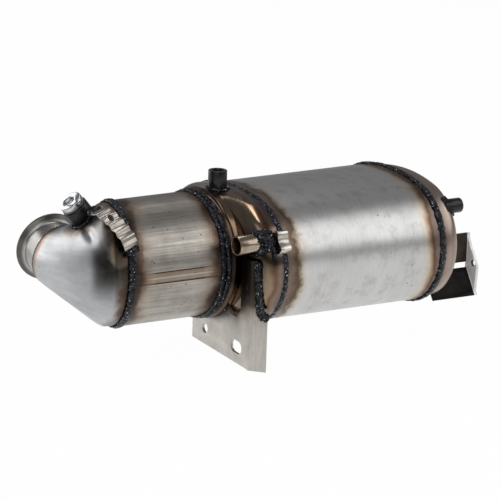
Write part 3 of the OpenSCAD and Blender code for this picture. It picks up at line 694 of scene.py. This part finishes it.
def catalyst_steel():
    """Rolled sheet with long mill streaks, a brown weld seam and heat colours at both ends."""
    material, tree, shader, colour = steel(
        "catalyst_steel", (0.19, 0.175, 0.155), (0.48, 0.448, 0.405), 0.34, (480, 10), 46.0, 0.16,
        (0.32, 0.68)
    )
    ragged = noise(tree, 45.0)
    seam = attribute(tree, "seam")
    seam = math_node(tree, "ADD", math_node(tree, "MULTIPLY", seam, 0.05), 0.5, clamp=True)
    heat = ramp(tree, seam, [
        (0.17, (0.3, 0.2, 0.13, 0)),
        (0.205, (0.02, 0.015, 0.012, 1)),
        (0.235, (0.03, 0.022, 0.016, 1)),
        (0.27, (0.20, 0.13, 0.085, 0.75)),
        (0.45, (0.22, 0.15, 0.10, 0.6)),
        (0.49, (0.44, 0.385, 0.32, 0.85)),
        (0.52, (0.44, 0.385, 0.32, 0.85)),
        (0.56, (0.20, 0.14, 0.095, 0.65)),
        (0.72, (0.26, 0.19, 0.14, 0.55)),
        (0.76, (0.03, 0.022, 0.016, 1)),
        (0.79, (0.02, 0.015, 0.012, 1)),
        (0.83, (0.3, 0.2, 0.13, 0)),
    ])
    colour = mix_colour(tree, heat.outputs["Alpha"], colour, heat.outputs["Color"])
    for end in ("from_start", "from_end"):
        colour = tint(tree, colour, attribute(tree, end), ragged, 27.0, [
            (0.0, (0.034, 0.028, 0.024, 1)),
            (0.28, (0.065, 0.045, 0.035, 1)),
            (0.42, (0.12, 0.08, 0.057, 0.92)),
            (0.64, (0.26, 0.20, 0.145, 0.5)),
            (1.0, (0.5, 0.44, 0.34, 0)),
        ])
    marked = specks(tree, colour, 260.0, 0.3, (0.08, 0.07, 0.06))
    set_inputs(tree, shader, {"Base Color": marked})
    return material


def filter_steel():
    """Bright sheet brushed round the can, with ragged heat colours at its welds."""
    material, tree, shader, colour = steel(
        "filter_steel", (0.47, 0.468, 0.462), (0.61, 0.607, 0.6), 0.34, (26, 900), 20.0, 0.07, (0.32, 0.68)
    )
    stains = spread(tree, noise(tree, 70.0, detail=8.0, rough=0.7), 0.48, 0.7, 0, 0.55)
    colour = mix_colour(tree, stains, colour, (0.30, 0.285, 0.265))
    ragged = noise(tree, 40.0, detail=9.0, rough=0.72)
    colour = tint(tree, colour, attribute(tree, "from_start"), ragged, 32.0, [
        (0.0, (0.13, 0.105, 0.09, 1)),
        (0.26, (0.19, 0.14, 0.11, 1)),
        (0.46, (0.10, 0.07, 0.047, 1)),
        (0.56, (0.21, 0.15, 0.095, 0.85)),
        (0.7, (0.47, 0.405, 0.32, 0.55)),
        (0.88, (0.6, 0.56, 0.49, 0.2)),
        (1.0, (0.62, 0.58, 0.5, 0)),
    ])
    even = noise(tree, 22.0)
    colour = tint(tree, colour, attribute(tree, "from_end"), even, 26.0, [
        (0.0, (0.21, 0.175, 0.165, 1)),
        (0.22, (0.18, 0.13, 0.11, 1)),
        (0.33, (0.11, 0.067, 0.045, 1)),
        (0.44, (0.29, 0.185, 0.11, 0.9)),
        (0.62, (0.54, 0.45, 0.33, 0.55)),
        (1.0, (0.62, 0.58, 0.5, 0)),
    ])
    marked = specks(tree, colour, 150.0, 0.28, (0.22, 0.21, 0.2))
    set_inputs(tree, shader, {"Base Color": marked})
    return material


def cone_steel():
    """Polished pressing that heat has turned gold, bronze and brown."""
    material, tree, shader, colour = steel(
        "cone_steel", (0.085, 0.065, 0.048), (0.25, 0.20, 0.15), 0.15, (8, 90), 26.0, 0.04, (0.3, 0.66)
    )
    ragged = noise(tree, 40.0)
    colour = tint(tree, colour, attribute(tree, "from_start"), ragged, 30.0, [
        (0.0, (0.03, 0.025, 0.022, 1)),
        (0.3, (0.11, 0.073, 0.052, 1)),
        (0.5, (0.22, 0.15, 0.10, 0.9)),
        (0.75, (0.26, 0.19, 0.13, 0.4)),
        (1.0, (0.28, 0.22, 0.16, 0)),
    ])
    colour = tint(tree, colour, attribute(tree, "from_end"), ragged, 24.0, [
        (0.0, (0.10, 0.082, 0.075, 1)),
        (0.3, (0.20, 0.145, 0.115, 1)),
        (0.5, (0.13, 0.076, 0.048, 0.9)),
        (0.75, (0.34, 0.23, 0.14, 0.55)),
        (1.0, (0.28, 0.22, 0.16, 0)),
    ])
    # Near-black: soot by the front bracket and the top boss, and soot with painted shade below the side
    # tube
    soot_and_shade = math_node(tree, "MULTIPLY", attribute(tree, "soot_and_shade"), spread(tree, ragged, 0.3, 0.6, 0.7, 1.0))
    colour = mix_colour(tree, soot_and_shade, colour, (0.012, 0.010, 0.008))
    set_inputs(tree, shader, {"Base Color": colour})
    return material


def outlet_steel():
    """Pressed end in dull rosy brown, darker at its weld."""
    material, tree, shader, colour = steel(
        "outlet_steel", (0.25, 0.195, 0.165), (0.43, 0.35, 0.30), 0.33, (14, 60), 24.0, 0.06, (0.3, 0.66)
    )
    ragged = noise(tree, 40.0)
    colour = tint(tree, colour, attribute(tree, "from_start"), ragged, 12.0, [
        (0.0, (0.08, 0.07, 0.07, 1)),
        (0.5, (0.2, 0.15, 0.13, 0.8)),
        (1.0, (0.3, 0.24, 0.2, 0)),
    ])
    set_inputs(tree, shader, {"Base Color": colour})
    return material


def weld_metal():
    """Dark glassy oxide, with painted highlights scattered over it: blue-grey spots and near-white specks.
    """
    material, tree, shader = new_material("weld_metal")
    fine = noise(tree, 900.0, detail=4.0, rough=0.7)
    both = blend(tree, fine, noise(tree, 260.0), 0.5)
    # The ramp's top stops paint blue-grey highlights into the oxide
    colour = ramp(tree, both, [
        (0.40, (0.008, 0.008, 0.009)),
        (0.53, (0.03, 0.031, 0.036)),
        (0.62, (0.10, 0.105, 0.12)),
        (0.70, (0.45, 0.47, 0.51)),
    ]).outputs["Color"]
    # Painted highlights: near-white specks, less metallic than the oxide around them
    painted_glint = spread(tree, noise(tree, 520.0, detail=3.0), 0.65, 0.70, 0, 1)
    colour = mix_colour(tree, painted_glint, colour, (0.70, 0.73, 0.78))
    metallic = spread(tree, painted_glint, 0, 1, 1.0, 0.2)
    gloss = spread(tree, fine, 0.3, 0.7, 0.38, 0.12)
    finish(tree, shader, colour, metallic, gloss, both, 0.9, 0.0014)
    return material


def plain_metal(name, dark, light, rough, scale, metallic=1.0):
    """A small piece's metal, with cloudy colour, uneven gloss and a fine grain."""
    material, tree, shader = new_material(name)
    cloud = noise(tree, scale)
    colour = two_tone(tree, cloud, dark, light, 0.32, 0.68)
    gloss = spread(tree, cloud, 0.3, 0.7, rough + 0.07, rough - 0.05)
    finish(tree, shader, colour, metallic, gloss, noise(tree, 900.0, detail=3.0), 0.08, 0.0003)
    return material


def rim_steel():
    """Turned steel: a brighter spigot inside a rim painted dark as shade."""
    material, tree, shader = new_material("rim_steel")
    cloud = noise(tree, 40.0)
    dark = two_tone(tree, cloud, (0.07, 0.067, 0.062), (0.14, 0.135, 0.127))
    light = two_tone(tree, cloud, (0.30, 0.29, 0.275), (0.44, 0.43, 0.415))
    on_rim = spread(tree, attribute(tree, "radius"), SPIGOT_R + 0.6, SPIGOT_R + 3.0, 0, 1)
    # The rim's darker tone is painted shade; the spigot keeps the brighter tone
    colour = mix_colour(tree, on_rim, light, dark)
    gloss = spread(tree, cloud, 0.3, 0.7, 0.34, 0.22)
    finish(tree, shader, colour, 1.0, gloss, noise(tree, 900.0, detail=3.0), 0.08, 0.0003)
    return material


def front_bracket_steel():
    """Mill sheet, smoked where it is welded to the collar above."""
    material, tree, shader = new_material("front_bracket_steel")
    cloud = noise(tree, 26.0)
    grain = noise(tree, 1.0, (300, 60, 40))
    both = blend(tree, grain, cloud, 0.4)
    colour = two_tone(tree, both, (0.40, 0.375, 0.345), (0.58, 0.55, 0.51), 0.32, 0.66)
    below = math_node(tree, "SUBTRACT", ZERO[2] - 20 * MM, object_axis(tree, "Z"))
    colour = tint(tree, colour, math_node(tree, "DIVIDE", below, MM), cloud, 40.0, [
        (0.0, (0.035, 0.029, 0.024, 1)),
        (0.45, (0.08, 0.062, 0.048, 0.97)),
        (0.7, (0.22, 0.175, 0.14, 0.65)),
        (1.0, (0.45, 0.4, 0.35, 0)),
    ])
    colour = specks(tree, colour, 240.0, 0.3, (0.17, 0.15, 0.13))
    gloss = spread(tree, both, 0.3, 0.7, 0.5, 0.38)
    finish(tree, shader, colour, 1.0, gloss, grain, 0.08, 0.0004)
    return material


def rear_bracket_steel():
    """Face plate painted near-white as if lit, on legs painted dark as shade, black below and brown above;
    the wall of the plate's hole takes the legs' painted shade.
    """
    material, tree, shader = new_material("rear_bracket_steel")
    cloud = noise(tree, 30.0)
    # Painted light: the face plate's near-white
    bright = two_tone(tree, cloud, (0.9, 0.9, 0.9), (0.97, 0.97, 0.97))
    # Painted shade on the legs: black on the lower leg, dark brown on the upper
    shaded_lower_leg = two_tone(tree, cloud, (0.003, 0.0027, 0.0025), (0.014, 0.011, 0.009))
    brown = two_tone(tree, cloud, (0.028, 0.021, 0.016), (0.085, 0.064, 0.048))
    across, height = object_axis(tree, "Y"), object_axis(tree, "Z")
    upper = spread(tree, height, ZERO[2] - 38 * MM, ZERO[2] - 34 * MM, 0, 1)
    legs = mix_colour(tree, upper, shaded_lower_leg, brown)
    # The hole's wall keeps the legs' dark colour: painted shade inside the hole
    hole = to_row([0, *REAR_HOLE])
    offsets = [math_node(tree, "SUBTRACT", place, hole[i]) for i, place in ((1, across), (2, height))]
    squares = [math_node(tree, "POWER", offset, 2.0) for offset in offsets]
    from_hole = math_node(tree, "SQRT", math_node(tree, "ADD", *squares))
    outside = math_node(tree, "GREATER_THAN", from_hole, (REAR_HOLE_R + 0.1) * MM)
    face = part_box("rear_bracket")[1].x - 3.6 * MM
    on_face = math_node(tree, "GREATER_THAN", object_axis(tree, "X"), face)
    on_face = math_node(tree, "MULTIPLY", on_face, outside)
    colour = mix_colour(tree, on_face, legs, bright)
    metallic = spread(tree, on_face, 0, 1, 0.85, 0.1)
    gloss = spread(tree, cloud, 0.3, 0.7, 0.4, 0.24)
    finish(tree, shader, colour, metallic, gloss, noise(tree, 700.0), 0.06, 0.0003)
    return material


def honeycomb(name, wall, cell, pitch):
    """A brick's end: square cells between thin walls, the cells painted dark as the shade down their
    channels, some darker than others.
    """
    material, tree, shader = new_material(name)
    place = add_node(tree, "ShaderNodeTexCoord").outputs["Object"]
    facing = {"Vector": place, "Rotation": (0, math.pi / 2, 0)}
    # The cells' dark colours are painted shade inside the open channels; the walls keep the ceramic's
    # colour
    cells = add_node(tree, "ShaderNodeTexBrick", {
        "Vector": add_node(tree, "ShaderNodeMapping", facing).outputs["Vector"],
        "Scale": 1 / pitch,
        "Mortar Size": 0.12,
        "Brick Width": 1.0,
        "Row Height": 1.0,
        "Color1": cell + (1,),
        "Color2": tuple(0.6 * c for c in cell) + (1,),
        "Mortar": wall + (1,),
    }, offset=0.0)
    gloss = spread(tree, noise(tree, 300.0), 0.3, 0.7, 0.95, 0.8)
    finish(tree, shader, cells.outputs["Color"], 0.0, gloss, cells.outputs["Fac"], 0.4, 0.0006)
    return material


def fibre_mat():
    """Pale swelling mat of fine fibres."""
    material, tree, shader = new_material("fibre_mat")
    fibres = noise(tree, 400.0, (1, 3, 1), detail=6.0)
    colour = two_tone(tree, fibres, (0.55, 0.52, 0.45), (0.8, 0.78, 0.72), 0.35, 0.7)
    finish(tree, shader, colour, 0.0, 0.95, fibres, 0.5, 0.001)
    return material


# Shells

def elbow_boss_place():
    """The point of the elbow's skin that the boss stands on."""
    ring = elbow_ring(BOSS_RUN, 0)
    step = math.radians(BOSS_TURN) / (2 * math.pi) * ROUND
    low = int(step)
    return ring[low] + (ring[low + 1] - ring[low]) * (step - low)


def inlet_elbow():
    """The pressed bend from the can's slanted mouth up to the inlet neck.

    Its points carry a patch of painted shade beside the can and the distances from the boss and the strap.
    """
    def skin(inset):
        skirt = [mitre_ring(ELBOW_R - inset, ELBOW_LAP)]
        return skirt + [elbow_ring(t, inset) for t in np.linspace(0, 1, RUN)]
    outer, inner = skin(0), skin(SHELL_T)
    turn = np.degrees(angles())
    from_weld = run_lengths(outer) - ELBOW_LAP
    # Where the patch of painted shade lies, round and along the elbow
    patch = np.exp(-np.abs((turn - SHADE_TURN) / SHADE_TURN_REACH) ** 3)
    patch = patch * np.exp(-np.abs((from_weld - SHADE_RUN) / SHADE_RUN_REACH) ** 6)
    offsets = [ring - elbow_boss_place() for ring in outer]
    heights = np.array([offset @ ELBOW_BOSS_AXIS for offset in offsets])
    flat = [offset - h[:, None] * ELBOW_BOSS_AXIS for offset, h in zip(offsets, heights)]
    from_boss = np.linalg.norm(flat, axis=2) - BOSS_FOOT_R
    from_boss[heights < FAR_BELOW] = NO_HEAT
    strap = node_points("shield_clip")
    from_strap = np.array([np.linalg.norm(ring[:, None] - strap, axis=2).min(1) for ring in outer])
    extra = {"painted_shade": patch, "from_boss": from_boss, "from_clip": from_strap - STRAP_REACH}
    mesh = shell_mesh("elbow_pressing", outer, inner, ELBOW_LAP, 0, extra)
    return settle(linked_object("elbow_pressing", mesh), "inlet_elbow", elbow_steel())


def catalyst_can():
    """The round can, cut on the slant at the inlet, with its long lapped seam."""
    turn = np.degrees(angles())
    arc = np.radians((turn - SEAM_ANGLE + 180) % 360 - 180) * CAT_R
    edges = np.exp(-(((np.abs(arc) - SEAM_HALF) / SEAM_EDGE) ** 2))
    ridge = edges + CROWN_H * np.exp(-((arc / CROWN_W) ** 2))
    ends = np.linspace(0, 1, 24)

    def skin(r, height):
        rings = []
        for t in ends:
            fade = min(1, 12 * min(t, 1 - t))
            ring = circle(0, 1.0)
            ring[:, 1:] *= (r + height * fade * ridge)[:, None]
            start = MITRE * ring[:, 1]
            ring[:, 0] = start + (CONE_START + LAP - start) * t
            rings.append(ring)
        return rings
    outer, inner = skin(CAT_R, SEAM_H), skin(CAT_R - SHELL_T, 0)
    seam = np.tile(arc, (len(ends), 1))
    mesh = shell_mesh("catalyst_wrap", outer, inner, 0, LAP, {"seam": seam})
    return settle(linked_object("catalyst_wrap", mesh), "catalyst_can", catalyst_steel())


def transition_cone():
    """Round collar with a rolled rib, a swelling cone and an oval skirt, pressed in one.

    Its points carry the soot beside the front bracket and the top boss, and soot with painted shade below
    the side tube.
    """
    def skin(inset):
        rings = []
        for x in np.linspace(0, COLLAR, 22)[:-1]:
            rib = (RIB_H + 0.2) * math.exp(-(((x - RIB_X) / 1.6) ** 2)) if inset == 0 else 0
            rings.append(circle(CONE_START + x, SKIRT_R - inset + rib))
        rings += [cone_ring(t, inset) for t in np.linspace(0, 1, RUN) ** 1.3]
        rings += [oval(CONE_END - CONE_SKIRT + x, SKIRT_OFF - inset) for x in (3.0, 6.0, CONE_SKIRT)]
        return rings

    def round_spot(place, axes, reach):
        near = [np.linalg.norm(ring[:, axes] - place[axes], axis=1) for ring in outer]
        return np.exp(-((np.array(near) / reach) ** 4))
    outer = skin(0)
    turn = np.degrees(angles())
    by_bracket = np.exp(-(((turn - SOOT_TURN) / SOOT_TURN_REACH) ** 4))
    by_bracket = by_bracket * np.clip((SOOT_END - run_lengths(outer)) / SOOT_FADE, 0, 1)
    by_boss = round_spot(node_middle("top_boss"), [0, 1], TOP_SOOT_REACH)
    by_boss = np.where(np.sin(angles()) > 0, by_boss, 0)
    before_clip = np.clip((CONE_END - CLIP_FADE - np.array(outer)[:, :, 0]) / CLIP_FADE, 0, 1)
    # Soot at the welds and painted shade under the side tube: dark below the tube and on to the clip, not
    # above it
    below_tube = node_middle("side_tube") + BELOW_TUBE
    by_tube = 0.95 * before_clip * round_spot(below_tube, [1, 2], TUBE_SHADE_REACH)
    soot_and_shade = np.maximum(np.maximum(by_bracket, by_boss), by_tube)
    mesh = shell_mesh("swelling_cone", outer, skin(SHELL_T), extra={"soot_and_shade": soot_and_shade})
    return settle(linked_object("swelling_cone", mesh), "transition_cone", cone_steel())


def filter_can():
    """The oval can."""
    def skin(off):
        places = np.linspace(FILTER_LOW[0], FILTER_HIGH[0], 30)
        return [oval(x, off) for x in places]
    mesh = shell_mesh("filter_wrap", skin(0), skin(-SHELL_T), CONE_END - FILTER_LOW[0])
    return settle(linked_object("filter_wrap", mesh), "filter_can", filter_steel())


def outlet_cone():
    """Oval skirt, rounded shoulder, shallow end and the fillet into the outlet neck."""
    def skin(inset):
        rings = [oval(x, OUTLET_OFF - inset) for x in (OUTLET_START, RING_4, RING_4 + 3, RING_4 + 7)]
        near = SHOULDER * (1 - np.cos(np.linspace(0, math.pi / 2, 20)))
        middle = np.linspace(SHOULDER, FILLET, 16)[1:-1]
        far = FILLET + (1 - FILLET) * np.sin(np.linspace(0, math.pi / 2, 16))
        return rings + [outlet_ring(u, inset) for u in np.concatenate([near, middle, far])]
    mesh = shell_mesh("outlet_pressing", skin(0), skin(SHELL_T), RING_4 - OUTLET_START)
    return settle(linked_object("outlet_pressing", mesh), "outlet_cone", outlet_steel())


def inlet_flange():
    """Turned rim and spigot that the neck is welded to; the spigot's foot follows the neck's slant."""
    foot = -NECK_MID - 5.0
    profile = eased([
        (BORE_R, foot), (SPIGOT_R, foot), (SPIGOT_R, -8), (SPIGOT_R + 1.2, -6.4),
        (RIM_R - 1, -3.2), (RIM_R, -2.4), (RIM_R, -0.8), (RIM_R - 0.8, 0), (BORE_R, 0),
    ], 0.5)
    a = angles()[:, None]
    rings = []
    for r, h in profile:
        slant = NECK_SLOPE * r * np.cos(a) if h < foot + 1 else 0.0
        out = r * (np.cos(a) * INLET_SIDE + np.sin(a) * INLET_UP)
        rings.append(INLET + (h + slant) * INLET_DIR + out)
    mesh = ring_mesh("inlet_rim", rings)[0]
    face_outwards(mesh, 30)
    add_field(mesh, "radius", np.repeat([r for r, h in profile], ROUND))
    return settle(linked_object("inlet_rim", mesh), "inlet_flange", rim_steel())


# Small pieces

def small_pieces():
    """Copies of the exact bosses, brackets, clips and tubes with eased edges and their own metals."""
    black = plain_metal("black_boss", (0.006, 0.006, 0.007), (0.020, 0.020, 0.023), 0.24, 120.0, 0.5)
    zinc = plain_metal("zinc_plug", (0.44, 0.445, 0.455), (0.56, 0.565, 0.575), 0.12, 140.0)
    dull = plain_metal("dull_ring", (0.05, 0.046, 0.042), (0.13, 0.115, 0.10), 0.3, 160.0)
    strip = plain_metal("bright_strip", (0.50, 0.465, 0.42), (0.70, 0.665, 0.61), 0.24, 80.0)
    # The waved strap's darker strip: partly wear, partly painted shade
    worn_and_shaded = plain_metal("worn_and_shaded_strip", (0.31, 0.28, 0.245), (0.48, 0.445, 0.40), 0.28, 80.0)
    bronze = plain_metal("bronzed_tube", (0.25, 0.195, 0.145), (0.46, 0.385, 0.305), 0.2, 70.0)
    pipe = plain_metal("pipe_steel", (0.36, 0.33, 0.29), (0.56, 0.52, 0.47), 0.32, 50.0)
    for node, title, bevel, slot, metal in [
        ("elbow_boss", "elbow_boss_turned", 0.5, "boss", black),
        ("boss_washer", "boss_ring", 0.3, "washer", dull),
        ("boss_plug", "boss_cap", 0.5, "plug", zinc),
        ("top_boss", "top_boss_turned", 0.6, "boss", black),
        ("end_boss", "end_boss_turned", 0.6, "boss", black),
        ("side_tube", "side_tube_drawn", 0.4, "tube", bronze),
        ("outlet_pipe", "outlet_pipe_drawn", 0.4, "can", pipe),
        ("shield_clip", "waved_strap", 0.25, "clip", worn_and_shaded),
        ("side_clip", "waved_clip", 0.2, "clip", strip),
        ("front_bracket", "front_plate", 0.5, "bracket", front_bracket_steel()),
        ("rear_bracket", "rear_plate", 0.5, "bracket", rear_bracket_steel()),
    ]:
        settle(node_copy(title, node, bevel), node, metal)


def inner_pieces():
    """The bricks and mats that the cans hold keep their own shapes."""
    mat = fibre_mat()
    for node, look in [
        ("catalyst_brick", honeycomb("catalyst_cells", (0.62, 0.55, 0.43), (0.10, 0.085, 0.065), 0.0013)),
        ("filter_brick", honeycomb("filter_cells", (0.2, 0.195, 0.19), (0.03, 0.03, 0.03), 0.0016)),
        ("catalyst_mat", mat),
        ("filter_mat", mat),
    ]:
        mesh = frame["nodes"][node].data
        mesh.materials.clear()
        mesh.materials.append(look)


# Welds

def radial(path, cy=0.0, cz=0.0):
    """Directions straight out from a line along X."""
    out = np.asarray(path) - np.array([0, cy, cz])
    out[:, 0] = 0
    return out / np.linalg.norm(out, axis=1)[:, None]


def off_ring(path):
    """Directions straight off a closed ring round X, square to its run."""
    run = np.roll(path, -1, axis=0) - np.roll(path, 1, axis=0)
    out = np.stack([np.zeros(len(path)), run[:, 2], -run[:, 1]], 1)
    return out / np.linalg.norm(out, axis=1)[:, None]


def skin_of(piece):
    """A search tree of a piece's faces, for dropping beads on to it."""
    mesh = piece.data
    corners = [v.co[:] for v in mesh.vertices]
    return BVHTree.FromPolygons(corners, [p.vertices[:] for p in mesh.polygons])


def ring_welds():
    """The beads that run right round the cans and pipes."""
    path = wander(mitre_ring(CAT_R + 0.1, -0.6), 0.8, 1)
    away = radial(path) + np.array([-0.25, 0, 0])
    weld_piece("elbow_bead", "elbow_weld", lay_bead(path, away, ELBOW_BEAD, 11))

    on_can = wander(circle(CONE_START - 2.6, CAT_R + 0.5), 0.9, 2)
    on_collar = wander(circle(CONE_START + 2.4, CAT_R + 1.5), 0.9, 3)
    can_bead = lay_bead(on_can, radial(on_can), CAN_BEAD, 12)
    collar_bead = lay_bead(on_collar, radial(on_collar), COLLAR_BEAD, 13)
    weld_piece("catalyst_bead", "catalyst_weld", can_bead, collar_bead)

    path = wander(oval(CONE_END + 0.4, 0.8), 0.8, 4)
    weld_piece("cone_bead", "cone_weld", lay_bead(path, off_ring(path), CONE_BEAD, 14))

    path = wander(oval(RING_4 + 0.5, 0.0), 1.1, 5)
    away = off_ring(path) + np.array([0.25, 0, 0])
    weld_piece("outlet_bead", "outlet_weld", lay_bead(path, away, OUTLET_BEAD, 15))

    path = neck_ring(SPIGOT_R + 1.0, 0.9)
    away = path - INLET
    away = away - (away @ INLET_DIR)[:, None] * INLET_DIR
    weld_piece("inlet_bead", "inlet_weld", lay_bead(path, away, INLET_BEAD, 16))

    path = circle(OUTLET_END + 1.2, OUTLET_R + 0.8, OUTLET_Y, OUTLET_Z)
    away = radial(path, OUTLET_Y, OUTLET_Z) + np.array([0.8, 0, 0])
    weld_piece("pipe_bead", "outlet_pipe_weld", lay_bead(path, away, PIPE_BEAD, 17))


def foot_welds(elbow, cone, outlet):
    """The beads round the feet of the bosses and the side tube."""
    for boss, place, axis, r, piece, seed in [
        ("elbow_boss", elbow_boss_place(), ELBOW_BOSS_AXIS, 14.2, elbow, 21),
        ("top_boss", node_middle("top_boss"), (0, 0, 1), 10.6, cone, 22),
        ("side_tube", node_middle("side_tube"), (-1, 0, 0), 11.2, cone, 23),
        ("end_boss", node_middle("end_boss"), (1, 0, 0), 8.6, outlet, 24),
    ]:
        skin = skin_of(piece)
        path, away = foot_path(place, axis, r, skin)
        path = path + np.random.default_rng(seed).normal(0, 0.5, path.shape)
        beads = [lay_bead(path, away, FOOT_BEAD, seed, uneven=0.35)]
        if boss == "side_tube":
            beads += [tube_lumps(place), clip_bead(skin)]
        weld_piece(boss + "_bead", boss + "_weld", *beads)


def tube_lumps(place):
    """Heavy lumps wound three times round the side tube from where its weld begins."""
    low, high = can_box("side_tube")
    r = (high[2] - low[2]) / 2 + 0.8
    turn = np.linspace(0, 6 * math.pi, 144)
    along = can_box("side_tube_weld")[0][0] + 2.5 + np.linspace(0, 12, 144)
    path = np.stack([along, place[1] + r * np.cos(turn), place[2] + r * np.sin(turn)], 1)
    away = radial(path, place[1], place[2])
    return lay_bead(path, away, TUBE_BEAD, 25, closed=False, uneven=0.5)


def clip_bead(skin):
    """The bead between the side tube's weld and the waved clip, dropped on to the cone."""
    low, high = can_box("side_clip")
    path, away = [], []
    for height in np.linspace(high[2] - 2, low[2] - 3, 24):
        start = to_row([low[0] - 3.5, low[1] - CLEAR, height])
        place, normal = skin.ray_cast(Vector(start), Vector((0, 1, 0)))[:2]
        path.append(to_can(place))
        away.append(np.array(normal))
    return lay_bead(np.array(path), np.array(away), CLIP_BEAD, 26, closed=False, uneven=0.5)


def bracket_welds():
    """The beads along the brackets."""
    plate_x, plate_y = can_box("front_bracket")[0][:2]
    turn = np.radians(np.linspace(228, 280, 40))
    path = np.stack([np.full(40, plate_x - 1.0), SKIRT_R * np.cos(turn), SKIRT_R * np.sin(turn)], 1)
    away = radial(path) + np.array([-0.7, 0, 0])
    collar = lay_bead(path, away, PLATE_BEAD, 31, closed=False)
    drop = np.linspace(6, -50, 40)
    edge = np.interp(drop, [-50, -47, -41, 10], [19, 13.5, 10.5, 6.5])
    path = np.stack([plate_x + edge, np.full(40, plate_y + 0.4), drop], 1)
    away = np.tile([0.2, -1.0, 0], (40, 1))
    hook = lay_bead(path, away, HOOK_BEAD, 32, closed=False)
    weld_piece("front_plate_beads", "front_bracket_weld", collar, hook)

    low, high = can_box("rear_bracket_weld")
    rise = np.linspace(low[2] + 2, high[2] - 2, 16)
    path = np.stack([np.full(16, low[0] + 3.2), np.full(16, high[1] - 0.4), rise], 1)
    away = np.tile([1.0, -1.0, 0], (16, 1))
    bead = lay_bead(path, away, REAR_BEAD, 33, closed=False, uneven=0.35)
    weld_piece("rear_plate_bead", "rear_bracket_weld", bead)


def strap_welds():
    """The two short lumpy beads at the ends of the waved strap."""
    points = node_points("shield_clip_welds")
    upper = points[:, 2] > points[:, 2].mean()
    beads = []
    for group, seed in ((points[upper], 34), (points[~upper], 35)):
        middle = group.mean(0)
        along = np.linalg.svd(group - middle)[2][0]
        span = (group - middle) @ along
        path = middle + np.linspace(span.min() + 2, span.max() - 2, 20)[:, None] * along
        beads.append(lay_bead(path, radial(path), STRAP_BEAD, seed, closed=False, uneven=0.35))
    weld_piece("strap_beads", "shield_clip_welds", *beads)


# Stage

def stage():
    """A pale floor under the part, soft boxes, and the camera at the photograph's angle."""
    scene = bpy.context.scene
    scene.view_settings.view_transform = "Standard"
    half = 9.0
    mesh = bpy.data.meshes.new("floor")
    corners = [(-half, -half), (half, -half), (half, half), (-half, half)]
    mesh.from_pydata([(x, y, cad_box[0].z) for x, y in corners], [], [(0, 1, 2, 3)])
    mesh.materials.append(floor_white())
    linked_object("floor", mesh)

    world = bpy.data.worlds.new("studio")
    world.use_nodes = True
    world.node_tree.nodes["Background"].inputs["Color"].default_value = (0.21, 0.21, 0.215, 1)
    scene.world = world

    soft_box("right_box", (0.635, -0.533, 0.559), 1.7, 1.8, 1.2, 10.0)
    soft_box("left_box", (-0.62, -0.58, 0.52), 1.6, 1.4, 1.2, 6.5)
    soft_box("back_box", (-0.478, 0.828, 0.292), 1.6, 1.3, 1.16, 10.0)
    soft_box("top_strip", (0.03, 0.18, 0.98), 1.5, 1.6, 0.22, 5.0, (0.66, 0.75, 0))
    scene.camera = photo_view()


def floor_white():
    """White floor that keeps a soft shadow: seen directly it is lifted towards white, and so is what
    metal mirrors of it near the part, while its far back stays darker in the mirrored tops.
    """
    material, tree, shader = new_material("floor_white")
    pale = {"Base Color": (0.92, 0.92, 0.92, 1), "Roughness": 0.9, "Specular IOR Level": 0.0}
    set_inputs(tree, shader, pale)
    rays = tree.nodes.new("ShaderNodeLightPath").outputs
    near = spread(tree, object_axis(tree, "Y"), 0.3, 1.1, 1.0, 0.12)
    mirrored = math_node(tree, "MULTIPLY", rays["Is Glossy Ray"], near)
    seen = math_node(tree, "MAXIMUM", rays["Is Camera Ray"], mirrored)
    seen = math_node(tree, "MAXIMUM", seen, rays["Is Transmission Ray"])
    glow = tree.nodes.new("ShaderNodeEmission").outputs[0]
    lift = math_node(tree, "MULTIPLY", seen, 0.98)
    both = add_node(tree, "ShaderNodeMixShader", {0: lift, 1: shader.outputs[0], 2: glow})
    set_inputs(tree, tree.nodes["Material Output"], {"Surface": both.outputs[0]})
    return material


def soft_box(name, direction, distance, width, height, power, along=None):
    """A rectangular light facing the part's middle; its width lies level or runs along the given way."""
    lamp = bpy.data.lights.new(name, "AREA")
    lamp.shape = "RECTANGLE"
    lamp.size = width
    lamp.size_y = height
    lamp.energy = power
    box = linked_object(name, lamp)
    way = unit(direction)
    along = np.cross([0, 0, 1], way) if along is None else np.asarray(along)
    across = unit(along - (along @ way) * way)
    middle = to_row([170, 0, 0])
    box.location = Vector(middle + way * distance)
    box.rotation_mode = "QUATERNION"
    turn = Matrix([across.tolist(), np.cross(way, across).tolist(), way.tolist()]).transposed()
    box.rotation_quaternion = turn.to_quaternion()


def photo_view():
    """The camera fitted to the photograph: six metres off, a long lens and a slight roll."""
    azimuth, elevation, roll = (math.radians(angle) for angle in (-33.2, 14.4, 1.9))
    distance, shift_right, shift_down = 6.0, 0.0087, 0.0029
    level = math.cos(elevation)
    back = Vector((math.sin(azimuth) * level, -math.cos(azimuth) * level, math.sin(elevation)))
    right = Vector((math.cos(azimuth), math.sin(azimuth), 0))
    up = back.cross(right)
    lens = bpy.data.cameras.new("photo_view")
    lens.sensor_width = 36
    lens.lens = 432
    eye = linked_object("photo_view", lens)
    aim = Vector(to_row([152, 0, 0]))
    eye.location = aim + back * distance + right * shift_right - up * shift_down
    rolled_right = right * math.cos(roll) + up * math.sin(roll)
    rolled_up = up * math.cos(roll) - right * math.sin(roll)
    eye.rotation_mode = "QUATERNION"
    eye.rotation_quaternion = Matrix([rolled_right, rolled_up, back]).transposed().to_quaternion()
    return eye


WELD_METAL = weld_metal()
WELD_TREE, WELD_INPUTS = weld_tree()
elbow_piece = inlet_elbow()
catalyst_can()
cone_piece = transition_cone()
filter_can()
outlet_piece = outlet_cone()
inlet_flange()
small_pieces()
inner_pieces()
ring_welds()
foot_welds(elbow_piece, cone_piece, outlet_piece)
bracket_welds()
strap_welds()
stage()
